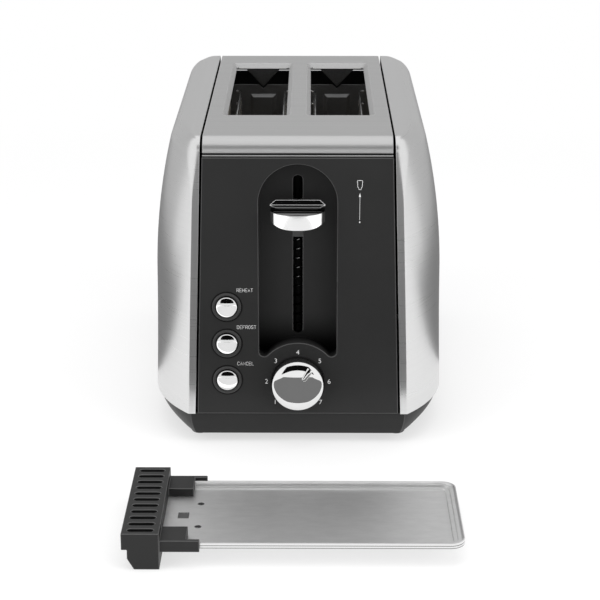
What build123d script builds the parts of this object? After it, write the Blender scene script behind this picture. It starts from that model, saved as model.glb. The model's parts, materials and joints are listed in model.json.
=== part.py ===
from build123d import *
import os
from math import asin, cos, pi, radians, sin, sqrt

# A two-slot pop-up toaster with its crumb tray drawn out and laid in front of it.
# Millimetres, +Z up, the floor at z = 0. +X is to the right and +Y to the rear as the
# user faces the control end. The origin is the middle of the set's footprint.

# The toaster's body
BODY_LENGTH = 271.0
BODY_HEIGHT = 192.0
TOP_WIDTH = 113.0
PANEL_FOOT_WIDTH = 123.6
SEAM_GAP = 1.2
STRIP_WIDTH = 5.0
CORNER_REACH = 65.0
REAR_CORNER_REACH = 17.0
REAR_STRIP_SHARE = 0.33
FOOT_FLARE = 1.5
SHOULDER_FLAT = 6.5
SHOULDER_RADIUS = 16.0
SIDE_LEAN = 13.4
SIDE_BOW_RADIUS = 375.0
TOP_BEND = 8.5
COVER_SHEET = 0.8
COVER_FLANGE = 25.0
FLANGE_END_GAP = 10.0

# The base and its feet
BASE_BOTTOM = 5.5
BASE_TOP = 20.0
BASE_FLOOR = 2.0
BASE_DECK = 3.0
BASE_WALL = 2.5
BASE_INSET = 1.2
BASE_SIDE_TAPER = 9.0
BASE_END_TAPER = 3.0
FOOT_RADIUS = 5.5
FOOT_STEM_RADIUS = 2.4
FOOT_STEM = 4.0
FOOT_HALF_SPAN = 61.0
FOOT_END_MARGIN = 22.0
FOOT_ROUND = 1.6
COVER_SCREW_INSET = 3.5
COVER_SCREW_SETBACK = 25.0
BULKHEAD_SCREW_X = 40.0
SCREW_REACH = 4.0
HEAD_ROOM = 0.5

# The front and rear panels
PANEL_THICKNESS = 3.0
PANEL_TOP_DROP = 11.85
HEM_HEIGHT = 2.1
HEM_INSET = 1.0
HEM_GAP = 0.5

# The lever recess, in the front panel
RECESS_WIDTH = 46.7
RECESS_DEPTH = 12.0
RECESS_WALL = 2.5
RECESS_HEAD_MARGIN = 4.15
RECESS_FOOT_MARGIN = 1.55
RECESS_FILLET = 3.0
LEVER_SLOT_WIDTH = 5.7
SLOT_HEAD_MARGIN = 9.3
SLOT_HEAD_GAP = 2.7
SLOT_FOOT_GAP = 2.2

# The lever and the carriage that it moves
LEVER_DOWN = 72.0
LEVER_UP = 15.0
LEVER_WIDTH = 31.8
LEVER_HEIGHT = 9.2
LEVER_REACH = 18.0
LEVER_END_REACH = 9.3
LEVER_ARCH = 3.0
LEVER_EDGE = 1.0
LEVER_CORNER = 2.0
BAR_HEIGHT = 5.6
BAR_DEPTH = 5.0
BAR_RIDGE = 2.2
BAR_MITRE = 3.2
BAR_OVERHANG = 0.4
ARM_WIDTH = 4.4
ARM_HEIGHT = 7.0
ARM_RISE = 1.4
CARRIAGE_WIDTH = 24.0
CARRIAGE_HEIGHT = 23.0
CARRIAGE_DEPTH = 12.0
CARRIAGE_DROP = 13.6
CARRIAGE_GAP = 3.5
EAR_LENGTH = 16.0
EAR_HEIGHT = 6.0
ROD_RADIUS = 2.5
ROD_SHELF_DROP = 4.9
ROD_PROUD = 2.0
RUNNING_CLEARANCE = 0.05
SPRING_WIRE = 1.0
SPRING_RADIUS = 4.0
SPRING_TURNS = 18
SPRING_SEAT_GAP = 0.2
RACK_BLADE = 1.5
RACK_HEIGHT = 10.0
RACK_DROP = 21.0
RACK_FINGER_RADIUS = 1.0
RACK_FINGER_LENGTH = 18.0
RACK_FINGERS = 7
RACK_TAIL = 1.0
CROSSBAR_SHEET = 1.5

# The dial and the buttons
DIAL_Z = 40.7
KNOB_RADIUS = 15.4
KNOB_RIM = 7.5
KNOB_DOME = 4.5
KNOB_GAP = 0.6
DIAL_RING_RADIUS = 16.6
DIAL_RING_WIDTH = 0.9
DIAL_RING_HEIGHT = 0.8
SHAFT_RADIUS = 3.0
SHAFT_GRIP = 6.0
SHAFT_ENTRY = 5.0
BUTTON_X = -42.7
BUTTON_TOP_Z = 88.4
BUTTON_PITCH = 23.25
BUTTON_COUNT = 3
BUTTON_RADIUS = 6.5
BUTTON_PROUD = 3.2
BUTTON_DOME = 1.2
BUTTON_DEPTH = 4.0
BUTTON_TRAVEL = 2.5
BUTTON_STEM_RADIUS = 2.0
BUTTON_CLEARANCE = 0.3
BEZEL_RADIUS = 9.6
BEZEL_HEIGHT = 0.9

# The control board behind the panel
BOARD_SHEET = 1.6
BOARD_STAND_OFF = 12.4
BOARD_COLUMN = 28.0
BOARD_MARGIN = 9.0
BOARD_SHELF_MARGIN = 2.0
BOSS_INSET = 3.5
BOSS_RADIUS = 2.5
SWITCH_SIDE = 6.0
SWITCH_HEIGHT = 4.2
POT_RADIUS = 8.0
POT_LENGTH = 8.0
POT_BORE_ROOM = 1.0
SCREW_RADIUS = 1.5
SCREW_HEAD_RADIUS = 3.0
SCREW_HEAD = 1.8
SCREW_BITE = 5.0
SCREW_CLEARANCE = 0.1

# The bread slots and the oven between the bulkheads
SLOT_WIDTH = 36.4
SLOT_LENGTH = 167.4
SLOT_SPACING = 51.8
SLOT_FRONT = 65.8
BEVEL_WIDTH = 2.8
BEVEL_DEPTH = 3.8
SLOT_CORNER = 1.5
TONGUE_WIDTH = 24.0
TONGUE_LENGTH = 12.5
TONGUE_SET = 0.1
BULKHEAD_SHEET = 0.8
BULKHEAD_DROP = 15.1
BULKHEAD_GAP = 2.3
BULKHEAD_FLANGE = 10.0
BULKHEAD_SIDE_GAP = 1.0
NOTCH_WIDTH = 6.0
NOTCH_DEPTH = 3.0
EMBOSS_WIDTH = 18.0
EMBOSS_DROP = 6.9
EMBOSS_FOOT = 90.0
EMBOSS_DEPTH = 2.0
SLIT_WIDTH = 3.0
SLIT_ROOM = 4.0
HEATER_SHEET = 0.8
HEATER_GAP = 5.5
HEATER_FOOT = 30.0
HEATER_DROP = 8.9
HEATER_END_GAP = 0.3
RIBBON_WIDTH = 1.6
RIBBON_SHEET = 0.2
RIBBON_ROWS = 11
RIBBON_MARGIN = 8.0
SHIELD_SHEET = 0.6
SHIELD_GAP = 3.6
GUIDE_WIRE_RADIUS = 0.9
GUIDE_UPRIGHT_RADIUS = 0.7
GUIDE_AXLE_PROUD = 1.2
GUIDE_INSET = 2.7
GUIDE_PIVOT_Z = 30.0
GUIDE_DROP = 3.9
GUIDE_WIRE_PITCH = 9.0
GUIDE_UPRIGHTS = 8
GUIDE_END_MARGIN = 5.0
GUIDE_HOOK = 3.5
GUIDE_BEND = 2.4

# The catch magnet, the mains contacts and the mains entry
MAGNET_X = 20.0
MAGNET_WIDTH = 16.0
MAGNET_DEPTH = 8.0
MAGNET_POLE = 4.0
MAGNET_YOKE = 4.0
MAGNET_REST = 0.3
COIL_WALL = 1.6
COIL_LENGTH = 19.0
COIL_END_GAP = 0.5
ARMATURE_SHEET = 2.5
CONTACT_X = -20.0
CONTACT_WIDTH = 12.0
CONTACT_REST = 0.4
BLADE_HEIGHT = 5.0
BLADE_WIDTH = 4.0
BLADE_SHEET = 0.6
TERMINAL_WIDTH = 40.0
TERMINAL_DEPTH = 12.0
TERMINAL_HEIGHT = 16.0
TERMINAL_Z = 62.0
GLAND_X = -50.0
GLAND_Z = 48.0
GLAND_RADIUS = 6.0
GLAND_LIP_RADIUS = 8.5
GLAND_LIP = 2.0
GLAND_BORE = 3.6

# The crumb tray, laid in front of the toaster with its handle to the left
TRAY_AHEAD = 85.0
TRAY_SHIFT = -1.0
HANDLE_DEPTH = 20.0
HANDLE_WIDTH = 90.0
HANDLE_HEIGHT = 20.4
HANDLE_LIP = 3.0
HANDLE_LIP_HEIGHT = 9.3
HANDLE_SLANT_WIDTH = 3.5
HANDLE_SLANT_HEIGHT = 6.1
VENT_COUNT = 11
VENT_PITCH = 8.0
VENT_LENGTH = 14.0
VENT_WIDTH = 3.6
VENT_DEPTH = 9.0
TRAY_LENGTH = 181.0
PLATE_WIDTH = 82.0
PLATE_SHEET = 0.6
PLATE_Z = 10.3
PLATE_RIM = 3.5
PLATE_CORNER = 8.0
PLATE_TUCK = 3.0
TRAY_ARM_LENGTH = 14.0
TRAY_ARM_WIDTH = 16.0
TRAY_ARM_HEIGHT = 4.9
SKIRT_LENGTH = 21.0
SKIRT_SHEET = 2.5
SKIRT_DROP = 1.0
RIVET_RADIUS = 1.5
RIVET_HEAD_RADIUS = 2.5
RIVET_HEAD = 0.8
RIVET_COVER = 1.5
LANCE_SIDE = 3.0
LANCE_SPAN = 30.0
WINDOW_LENGTH = 6.0
WINDOW_WIDTH = 8.0
TRAY_CLEARANCE = 0.6
TRAY_END_GAP = 4.0
RAIL_WIDTH = 8.0
RAIL_GAP = 0.3
RAIL_END_GAP = 3.0

# How far a cut runs past the face that it opens
CUT = 1.0

# Places that follow from the sizes above
SET_LENGTH = HANDLE_WIDTH + TRAY_AHEAD + BODY_LENGTH
REAR_Y = SET_LENGTH / 2
FRONT_Y = REAR_Y - BODY_LENGTH
MID_Y = (FRONT_Y + REAR_Y) / 2
TRAY_Y = HANDLE_WIDTH / 2 - SET_LENGTH / 2
TRAY_X = TRAY_SHIFT - TRAY_LENGTH / 2
SHOULDER_X = TOP_WIDTH / 2 + SHOULDER_FLAT
SHOULDER_Z = BODY_HEIGHT - SHOULDER_RADIUS
LEAN = radians(SIDE_LEAN)
BOW_X = SHOULDER_X + SHOULDER_RADIUS * cos(LEAN)
BOW_TOP = SHOULDER_Z + SHOULDER_RADIUS * sin(LEAN)
BOW_FOOT = BOW_TOP - SIDE_BOW_RADIUS * sin(LEAN)
HALF_WIDTH = BOW_X + SIDE_BOW_RADIUS * (1 - cos(LEAN))
FOOT_HALF_WIDTH = HALF_WIDTH + FOOT_FLARE
PANEL_TOP = BODY_HEIGHT - PANEL_TOP_DROP
PANEL_BACK = FRONT_Y + PANEL_THICKNESS
RECESS_TOP = PANEL_TOP - RECESS_HEAD_MARGIN
LEVER_SLOT_TOP = RECESS_TOP - SLOT_HEAD_MARGIN
LEVER_FOOT = LEVER_SLOT_TOP - SLOT_HEAD_GAP - LEVER_UP - ARM_HEIGHT - ARM_RISE
LEVER_SLOT_FOOT = LEVER_FOOT + ARM_RISE - LEVER_DOWN - SLOT_FOOT_GAP
BULKHEAD_TOP = BODY_HEIGHT - BULKHEAD_DROP
BULKHEAD_HALF_WIDTH = TOP_WIDTH / 2 - BULKHEAD_SIDE_GAP
ROD_SHELF_Z = BULKHEAD_TOP - ROD_SHELF_DROP
EMBOSS_TOP = BULKHEAD_TOP - EMBOSS_DROP
HEATER_TOP = BULKHEAD_TOP - HEATER_DROP
GUIDE_TOP = BULKHEAD_TOP - GUIDE_DROP
RECESS_FLOOR = FRONT_Y + RECESS_DEPTH
RECESS_HALF = RECESS_WIDTH / 2
RECESS_FOOT_RADIUS = RECESS_HALF + RECESS_FOOT_MARGIN
RECESS_FOOT = DIAL_Z + sqrt(RECESS_FOOT_RADIUS**2 - RECESS_HALF**2)
RECESS_HEAD = RECESS_TOP - RECESS_HALF
TUB_BACK = RECESS_FLOOR + RECESS_WALL
SLOT_CENTRES = (-SLOT_SPACING / 2, SLOT_SPACING / 2)
SLOT_FRONT_Y = FRONT_Y + SLOT_FRONT
SLOT_REAR_Y = SLOT_FRONT_Y + SLOT_LENGTH
FRONT_BULKHEAD_Y = SLOT_FRONT_Y - BULKHEAD_GAP - BULKHEAD_SHEET
REAR_BULKHEAD_Y = SLOT_REAR_Y + BULKHEAD_GAP
OVEN_FRONT = FRONT_BULKHEAD_Y + BULKHEAD_SHEET
OVEN_REAR = REAR_BULKHEAD_Y
CARRIAGE_Y = TUB_BACK + CARRIAGE_GAP
ROD_Y = CARRIAGE_Y + CARRIAGE_DEPTH / 2
CARRIAGE_FOOT = LEVER_FOOT - CARRIAGE_DROP
CARRIAGE_BACK = CARRIAGE_Y + CARRIAGE_DEPTH
RACK_Z = CARRIAGE_FOOT - RACK_DROP
BOARD_Y = PANEL_BACK + BOARD_STAND_OFF
BUTTON_ZS = [BUTTON_TOP_Z - i * BUTTON_PITCH for i in range(BUTTON_COUNT)]
HEATER_XS = [
    side * (SLOT_SPACING / 2 + edge * (SLOT_WIDTH / 2 + HEATER_GAP))
    for side, edge in ((-1, 1), (-1, -1), (1, -1), (1, 1))
]
GUIDE_XS = [
    side * (SLOT_SPACING / 2 + edge * (SLOT_WIDTH / 2 - GUIDE_INSET))
    for side, edge in ((-1, 1), (-1, -1), (1, -1), (1, 1))
]
CHANNEL_HALF = PLATE_WIDTH / 2 + SKIRT_SHEET + TRAY_CLEARANCE
MOUTH_HALF = HANDLE_WIDTH / 2 + TRAY_CLEARANCE
TRAY_SEAT = BASE_BOTTOM + PLATE_Z
MOUTH_TOP = BASE_BOTTOM + HANDLE_HEIGHT + TRAY_CLEARANCE
CHANNEL_FRONT = REAR_Y - TRAY_LENGTH - TRAY_END_GAP
POCKET_Y = REAR_Y - HANDLE_DEPTH - TRAY_CLEARANCE
BOARD_LEFT = BUTTON_X - BOARD_COLUMN / 2
BOARD_RIGHT = POT_RADIUS + BOARD_MARGIN
BOARD_FOOT = DIAL_Z - POT_RADIUS - BOARD_MARGIN
BOARD_TOP = BUTTON_TOP_Z + BOARD_MARGIN
RACK_SLIT_FOOT = RACK_Z - LEVER_DOWN - SLIT_ROOM
RACK_SLIT_TOP = RACK_Z + RACK_HEIGHT + LEVER_UP + SLIT_ROOM
CONTACT_TOP = CARRIAGE_FOOT - LEVER_DOWN - CONTACT_REST
SIDES = ("left_outer", "left_inner", "right_inner", "right_outer")


def slab(x0, x1, y0, y1, z0, z1):
    """A box between two corners."""
    middle = Pos((x0 + x1) / 2, (y0 + y1) / 2, (z0 + z1) / 2)
    return middle * Box(x1 - x0, y1 - y0, z1 - z0)


def upright(radius, x, y, z0, z1):
    """A round bar along Z."""
    return Pos(x, y, (z0 + z1) / 2) * Cylinder(radius, z1 - z0)


def lengthwise(radius, x, z, y0, y1):
    """A round bar along Y."""
    return Pos(x, (y0 + y1) / 2, z) * Rot(90, 0, 0) * Cylinder(radius, y1 - y0)


def crosswise(radius, y, z, x0, x1):
    """A round bar along X."""
    return Pos((x0 + x1) / 2, y, z) * Rot(0, 90, 0) * Cylinder(radius, x1 - x0)


def domed(radius, x, z, face, dome, back):
    """A round boss along Y whose front is a low dome."""
    sphere = (radius**2 + dome**2) / (2 * dome)
    half_turn = asin(radius / sphere) / 2
    middle = (x + sphere * sin(half_turn), face + sphere * (1 - cos(half_turn)), z)
    rim = (x + radius, face + dome, z)
    edges = [
        ThreePointArc((x, face, z), middle, rim),
        Line(rim, (x + radius, back, z)),
        Line((x + radius, back, z), (x, back, z)),
        Line((x, back, z), (x, face, z)),
    ]
    return revolve(Face(Wire(edges)), axis=Axis((x, 0, z), (0, 1, 0)))


def front_plane(y):
    """A drawing plane facing the user: its own axes are X and Z."""
    return Plane(origin=(0, y, 0), x_dir=(1, 0, 0), z_dir=(0, -1, 0))


def to_rear(sketch, depth):
    """A front view drawing pushed towards the rear."""
    return extrude(sketch, amount=depth, dir=(0, 1, 0))


def joined(shapes):
    """Solids fused into one."""
    whole = shapes[0]
    for shape in shapes[1:]:
        whole = whole + shape
    return whole


def grouped(shapes):
    """Separate solids kept together in one node."""
    return Compound(children=[solid for shape in shapes for solid in shape.solids()])


def write(name, shape):
    """One file for each piece."""
    export_step(shape, f"parts/{name}.step")


def mirrored(shape):
    """The same piece on the other side."""
    return mirror(shape, about=Plane.YZ)


# The toaster's outer form
def seam_x(z):
    """Half the width between the two side covers, which flares towards the base."""
    flare = (PANEL_FOOT_WIDTH - TOP_WIDTH) / 2
    return TOP_WIDTH / 2 + flare * (BODY_HEIGHT - z) / (BODY_HEIGHT - BASE_TOP)


def side_x(z):
    """Half the body's width: a slight flare to the foot, then a bow, then a round shoulder."""
    if z <= BOW_FOOT:
        return HALF_WIDTH + FOOT_FLARE * (BOW_FOOT - z) / (BOW_FOOT - BASE_TOP)
    if z <= BOW_TOP:
        return HALF_WIDTH - SIDE_BOW_RADIUS + sqrt(SIDE_BOW_RADIUS**2 - (z - BOW_FOOT) ** 2)
    return SHOULDER_X + sqrt(max(0.0, SHOULDER_RADIUS**2 - (z - SHOULDER_Z) ** 2))


def corner_middle(half_width, crease, reach):
    """Half way round the curve from a straight side to an end: its x, and how far it lies from the end."""
    fall = half_width - crease
    radius = (reach**2 + fall**2) / (2 * fall)
    half_turn = asin(reach / radius) / 2
    return half_width - radius * (1 - cos(half_turn)), reach - radius * sin(half_turn)


def plan_half(z, inner, crease, rear_crease, half_width, front, rear):
    """The right half of a level outline: flat ends, a long curve to the front one and a short one to the rear."""
    front_end = (half_width, front + CORNER_REACH, z)
    rear_end = (half_width, rear - REAR_CORNER_REACH, z)
    front_x, front_in = corner_middle(half_width, crease, CORNER_REACH)
    rear_x, rear_in = corner_middle(half_width, rear_crease, REAR_CORNER_REACH)
    edges = [
        Line((inner, front, z), (crease, front, z)),
        ThreePointArc((crease, front, z), (front_x, front + front_in, z), front_end),
        Line(front_end, rear_end),
        ThreePointArc(rear_end, (rear_x, rear - rear_in, z), (rear_crease, rear, z)),
        Line((rear_crease, rear, z), (inner, rear, z)),
        Line((inner, rear, z), (inner, front, z)),
    ]
    return Face(Wire(edges))


def rear_strip(z):
    """How much of a side cover lies flat on the rear end: the front's strip and a share of the rest."""
    return STRIP_WIDTH + REAR_STRIP_SHARE * (side_x(z) - seam_x(z) - STRIP_WIDTH)


def cover_section(z, inset, seam_offset):
    """A level section through the right side cover's outer face, or its inner face."""
    half_width = side_x(z) - inset
    seam = seam_x(z)
    crease = seam + STRIP_WIDTH - inset
    rear_crease = seam + rear_strip(z) - inset
    return plan_half(z, seam + seam_offset, crease, rear_crease, half_width, FRONT_Y + inset, REAR_Y - inset)


def cover_form(inset, seam_offset, foot):
    """The right side of the body as a solid, from its foot to the top."""
    bow_steps = 4
    shoulder_steps = 6
    bow = [BOW_FOOT + (BOW_TOP - BOW_FOOT) * i / bow_steps for i in range(bow_steps + 1)]
    turns = [LEAN + (pi / 2 - LEAN) * i / shoulder_steps for i in range(shoulder_steps + 1)]
    shoulder = [SHOULDER_Z + SHOULDER_RADIUS * sin(turn) for turn in turns]
    lower = loft([cover_section(z, inset, seam_offset) for z in (foot, BOW_FOOT)], ruled=True)
    middle = loft([cover_section(z, inset, seam_offset) for z in bow])
    upper = loft([cover_section(z, inset, seam_offset) for z in shoulder])
    return (lower + middle + upper) & bend_form(inset)


def bend_form(inset):
    """The body's side view, with its top bent down at both ends, right across the body."""
    front, rear, top = FRONT_Y + inset, REAR_Y - inset, BODY_HEIGHT - inset
    bend = TOP_BEND - inset
    edges = [
        Line((0, front, 0), (0, front, top - bend)),
        TangentArc((0, front, top - bend), (0, front + bend, top), tangent=(0, 0, 1)),
        Line((0, front + bend, top), (0, rear - bend, top)),
        TangentArc((0, rear - bend, top), (0, rear, top - bend), tangent=(0, 1, 0)),
        Line((0, rear, top - bend), (0, rear, 0)),
        Line((0, rear, 0), (0, front, 0)),
    ]
    return extrude(Face(Wire(edges)), amount=BODY_LENGTH, dir=(1, 0, 0), both=True)


def screw_places():
    """Where the screws stand in the base: side cover flanges first, then the bulkhead flanges."""
    cover_x = FOOT_HALF_WIDTH - COVER_FLANGE + COVER_SCREW_INSET
    setback = CORNER_REACH + COVER_SCREW_SETBACK
    places = [(side * cover_x, y) for side in (-1, 1) for y in (FRONT_Y + setback, REAR_Y - setback)]
    front = FRONT_BULKHEAD_Y - BULKHEAD_FLANGE / 2
    rear = REAR_BULKHEAD_Y + BULKHEAD_SHEET + BULKHEAD_FLANGE / 2
    places += [(side * BULKHEAD_SCREW_X, front) for side in (-1, 1)]
    places += [(side * (MOUTH_HALF + BULKHEAD_HALF_WIDTH) / 2, rear) for side in (-1, 1)]
    return places


def screw_holes():
    """Clearance for the screw shanks through the deck and whatever it carries."""
    hole = SCREW_RADIUS + SCREW_CLEARANCE
    top = BASE_TOP + SCREW_REACH + CUT
    return joined([upright(hole, x, y, BASE_BOTTOM, top) for x, y in screw_places()])


def right_side_cover():
    """Bent and bowed sheet, open at the seam, with a flange that lies on the base."""
    gap = SEAM_GAP / 2
    outer = cover_form(0, gap, BASE_TOP)
    shell = outer - cover_form(COVER_SHEET, gap - STRIP_WIDTH, BASE_TOP - BASE_DECK)
    reach = CORNER_REACH + FLANGE_END_GAP
    x0 = FOOT_HALF_WIDTH - COVER_FLANGE
    x1 = FOOT_HALF_WIDTH - COVER_SHEET / 2
    flange = slab(x0, x1, FRONT_Y + reach, REAR_Y - reach, BASE_TOP, BASE_TOP + COVER_SHEET)
    return shell + flange - screw_holes()


def slot_outline(x, margin, z):
    """A bread slot's rounded rectangle, grown by a margin."""
    middle = (SLOT_FRONT_Y + SLOT_REAR_Y) / 2
    shape = RectangleRounded(SLOT_WIDTH + 2 * margin, SLOT_LENGTH + 2 * margin, SLOT_CORNER + margin)
    return Pos(x, middle, z) * shape


def slot_funnel(x, margin, top, foot):
    """The sloping throat of one slot, from the top cover down."""
    return loft([slot_outline(x, BEVEL_WIDTH + margin, top), slot_outline(x, margin, foot)])


def tongue(x):
    """A three-cornered guide tongue that hangs at the slot's rear edge."""
    top = BODY_HEIGHT - BEVEL_DEPTH
    half = TONGUE_WIDTH / 2
    plane = front_plane(SLOT_REAR_Y + TONGUE_SET)
    outline = plane * Polygon((x - half, top), (x + half, top), (x, top - TONGUE_LENGTH), align=None)
    return to_rear(outline, COVER_SHEET)


def top_cover():
    """Sheet over the oven: bent down at both ends, hemmed there, with two bevelled slots."""
    half = TOP_WIDTH / 2 - SEAM_GAP / 2
    foot = PANEL_TOP + HEM_GAP + HEM_HEIGHT
    band = slab(-half, half, FRONT_Y, REAR_Y, foot, BODY_HEIGHT)
    cover = (bend_form(0) - bend_form(COVER_SHEET)) & band
    for side, face in ((1, FRONT_Y), (-1, REAR_Y)):
        ys = sorted((face, face + side * (HEM_INSET + COVER_SHEET)))
        cover = cover + slab(-half, half, *ys, foot, foot + COVER_SHEET)
        ys = sorted((face + side * HEM_INSET, face + side * (HEM_INSET + COVER_SHEET)))
        cover = cover + slab(-half, half, *ys, foot - HEM_HEIGHT, foot + COVER_SHEET)
    throat_foot = BODY_HEIGHT - BEVEL_DEPTH
    for x in SLOT_CENTRES:
        cover = cover + slot_funnel(x, COVER_SHEET, BODY_HEIGHT, throat_foot)
    for x in SLOT_CENTRES:
        cover = cover - slot_funnel(x, 0, BODY_HEIGHT, throat_foot)
        cover = cover + tongue(x)
    return cover


# The base
def base_section(z, wall):
    """The right half of a level section through the base, drawn in by a wall."""
    drop = ((BASE_TOP - z) / (BASE_TOP - BASE_BOTTOM)) ** 2
    seam = seam_x(BASE_TOP)
    side = BASE_INSET + BASE_SIDE_TAPER * drop + wall
    end = BASE_INSET + BASE_END_TAPER * drop + wall
    crease = seam + STRIP_WIDTH - end
    rear_crease = seam + rear_strip(BASE_TOP) - side
    return plan_half(z, 0, crease, rear_crease, FOOT_HALF_WIDTH - side, FRONT_Y + end, REAR_Y - end)


def base_form(wall, foot, top):
    """The base's outer form, or the hollow inside it."""
    half = loft([base_section(foot + (top - foot) * i / 2, wall) for i in range(3)])
    return half + mirrored(half)


def feet_places():
    """Under the four corners."""
    ys = (FRONT_Y + FOOT_END_MARGIN, REAR_Y - FOOT_END_MARGIN)
    return [(side * FOOT_HALF_SPAN, y) for side in (-1, 1) for y in ys]


def base():
    """A hollow pan with a deck, open over and behind the crumb tray."""
    floor_top = BASE_BOTTOM + BASE_FLOOR
    deck_foot = BASE_TOP - BASE_DECK
    pan = base_form(0, BASE_BOTTOM, BASE_TOP) - base_form(BASE_WALL, floor_top, deck_foot)
    far, low, high = REAR_Y + CUT, BASE_BOTTOM - CUT, BASE_TOP + CUT
    channel = slab(-CHANNEL_HALF, CHANNEL_HALF, CHANNEL_FRONT, far, floor_top, high)
    mouth = slab(-MOUTH_HALF, MOUTH_HALF, POCKET_Y, far, low, high)
    pan = pan - channel - mouth
    rail_start = CHANNEL_FRONT + RAIL_END_GAP
    rail_end = POCKET_Y - SKIRT_LENGTH - RAIL_END_GAP
    for side in (-1, 1):
        xs = sorted((side * (CHANNEL_HALF - RAIL_WIDTH), side * CHANNEL_HALF))
        pan = pan + slab(*xs, rail_start, rail_end, BASE_BOTTOM + BASE_FLOOR / 2, TRAY_SEAT - RAIL_GAP)
    for x, y in feet_places():
        pan = pan - upright(FOOT_STEM_RADIUS, x, y, low, BASE_BOTTOM + FOOT_STEM + CUT)
    for x, y in screw_places():
        pan = pan - upright(SCREW_HEAD_RADIUS + HEAD_ROOM, x, y, low, floor_top + CUT)
    pan = pan - upright(ROD_RADIUS + RUNNING_CLEARANCE, 0, ROD_Y, deck_foot - CUT, high)
    return pan - screw_holes()


def feet():
    """Four rubber feet, each pushed into the base by its stem."""
    shapes = []
    for x, y in feet_places():
        pad = upright(FOOT_RADIUS, x, y, 0, BASE_BOTTOM)
        pad = fillet(pad.edges().group_by(Axis.Z)[0], FOOT_ROUND)
        stem = upright(FOOT_STEM_RADIUS - RUNNING_CLEARANCE, x, y, BASE_BOTTOM, BASE_BOTTOM + FOOT_STEM)
        shapes.append(pad + stem)
    return grouped(shapes)


def base_screws():
    """Screws up through the deck, their heads under it."""
    deck_foot = BASE_TOP - BASE_DECK
    shapes = []
    for x, y in screw_places():
        head = upright(SCREW_HEAD_RADIUS, x, y, deck_foot - SCREW_HEAD, deck_foot)
        shapes.append(head + upright(SCREW_RADIUS, x, y, deck_foot, BASE_TOP + SCREW_REACH))
    return grouped(shapes)


# The end panels
def panel_plate(face_y, depth):
    """A flat plate between the side covers, wider at its foot, behind or before a face."""
    gap = SEAM_GAP / 2
    foot = seam_x(BASE_TOP) - gap
    top = seam_x(PANEL_TOP) - gap
    corners = ((-foot, BASE_TOP), (foot, BASE_TOP), (top, PANEL_TOP), (-top, PANEL_TOP))
    return to_rear(front_plane(face_y) * Polygon(*corners, align=None), depth)


def recess_outline(y, foot, grow):
    """A round head and straight sides, down to a foot that curves round the dial."""
    half = RECESS_HALF + grow
    tall = Pos(0, (RECESS_HEAD + foot) / 2) * Rectangle(2 * half, RECESS_HEAD - foot)
    shape = tall + Pos(0, RECESS_HEAD) * Circle(half)
    return front_plane(y) * (shape - Pos(0, DIAL_Z) * Circle(RECESS_FOOT_RADIUS - grow))


def lever_recess():
    """The hollow that the lever moves in, with its two foot corners rounded."""
    hollow = to_rear(recess_outline(FRONT_Y, DIAL_Z, 0), RECESS_DEPTH)
    corners = hollow.edges().filter_by(Axis.Y).group_by(Axis.Z)[0]
    return fillet(corners, RECESS_FILLET)


def recess_tub():
    """The walls and floor round the recess, behind the panel."""
    start = PANEL_BACK - PANEL_THICKNESS / 2
    return to_rear(recess_outline(start, RECESS_FOOT - RECESS_WALL, RECESS_WALL), TUB_BACK - start)


def lever_slot(y, depth):
    """The slot that the lever's arm runs in."""
    height = LEVER_SLOT_TOP - LEVER_SLOT_FOOT
    middle = (LEVER_SLOT_TOP + LEVER_SLOT_FOOT) / 2
    outline = front_plane(y) * (Pos(0, middle) * SlotOverall(height, LEVER_SLOT_WIDTH, rotation=90))
    return to_rear(outline, depth)


def board_bosses():
    """Where the control board is screwed to the front panel."""
    left = BOARD_LEFT + BOSS_INSET
    right = BOARD_LEFT + BOARD_COLUMN - BOSS_INSET
    top = BOARD_TOP - BOSS_INSET
    foot = BOARD_FOOT + BOSS_INSET
    return [(left, top), (right, top), (left, foot), (BOARD_RIGHT - BOSS_INSET, foot)]


def front_panel():
    """The control panel, with the lever's recess, the button holes and the board's bosses."""
    panel = panel_plate(FRONT_Y, PANEL_THICKNESS)
    panel = panel + recess_tub() - lever_recess()
    panel = panel - lever_slot(RECESS_FLOOR - CUT, RECESS_WALL + 2 * CUT)
    hole = BUTTON_RADIUS + BUTTON_CLEARANCE
    for z in BUTTON_ZS:
        panel = panel - lengthwise(hole, BUTTON_X, z, FRONT_Y - CUT, PANEL_BACK + CUT)
    bore = SHAFT_RADIUS + RUNNING_CLEARANCE
    panel = panel - lengthwise(bore, 0, DIAL_Z, FRONT_Y - CUT, PANEL_BACK + CUT)
    for x, z in board_bosses():
        panel = panel + lengthwise(BOSS_RADIUS, x, z, PANEL_BACK, BOARD_Y)
        panel = panel - lengthwise(SCREW_RADIUS, x, z, BOARD_Y - SCREW_BITE - CUT, BOARD_Y)
    return panel


def rear_panel():
    """The plain panel at the back, cut away over the crumb tray's handle."""
    back = panel_plate(REAR_Y - PANEL_THICKNESS, PANEL_THICKNESS)
    ys = (REAR_Y - PANEL_THICKNESS - CUT, REAR_Y + CUT)
    notch = slab(-MOUTH_HALF, MOUTH_HALF, *ys, BASE_TOP - CUT, MOUTH_TOP)
    hole = lengthwise(GLAND_RADIUS + RUNNING_CLEARANCE, GLAND_X, GLAND_Z, *ys)
    return back - notch - hole


def cord_gland():
    """A flanged bush for the mains lead, held by a nut inside."""
    inside = REAR_Y - PANEL_THICKNESS
    bush = lengthwise(GLAND_RADIUS, GLAND_X, GLAND_Z, inside - GLAND_LIP, REAR_Y)
    lip = lengthwise(GLAND_LIP_RADIUS, GLAND_X, GLAND_Z, REAR_Y, REAR_Y + GLAND_LIP)
    nut = lengthwise(GLAND_LIP_RADIUS, GLAND_X, GLAND_Z, inside - GLAND_LIP, inside)
    bore = lengthwise(GLAND_BORE, GLAND_X, GLAND_Z, inside - GLAND_LIP - CUT, REAR_Y + GLAND_LIP + CUT)
    return bush + lip + nut - bore


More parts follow.
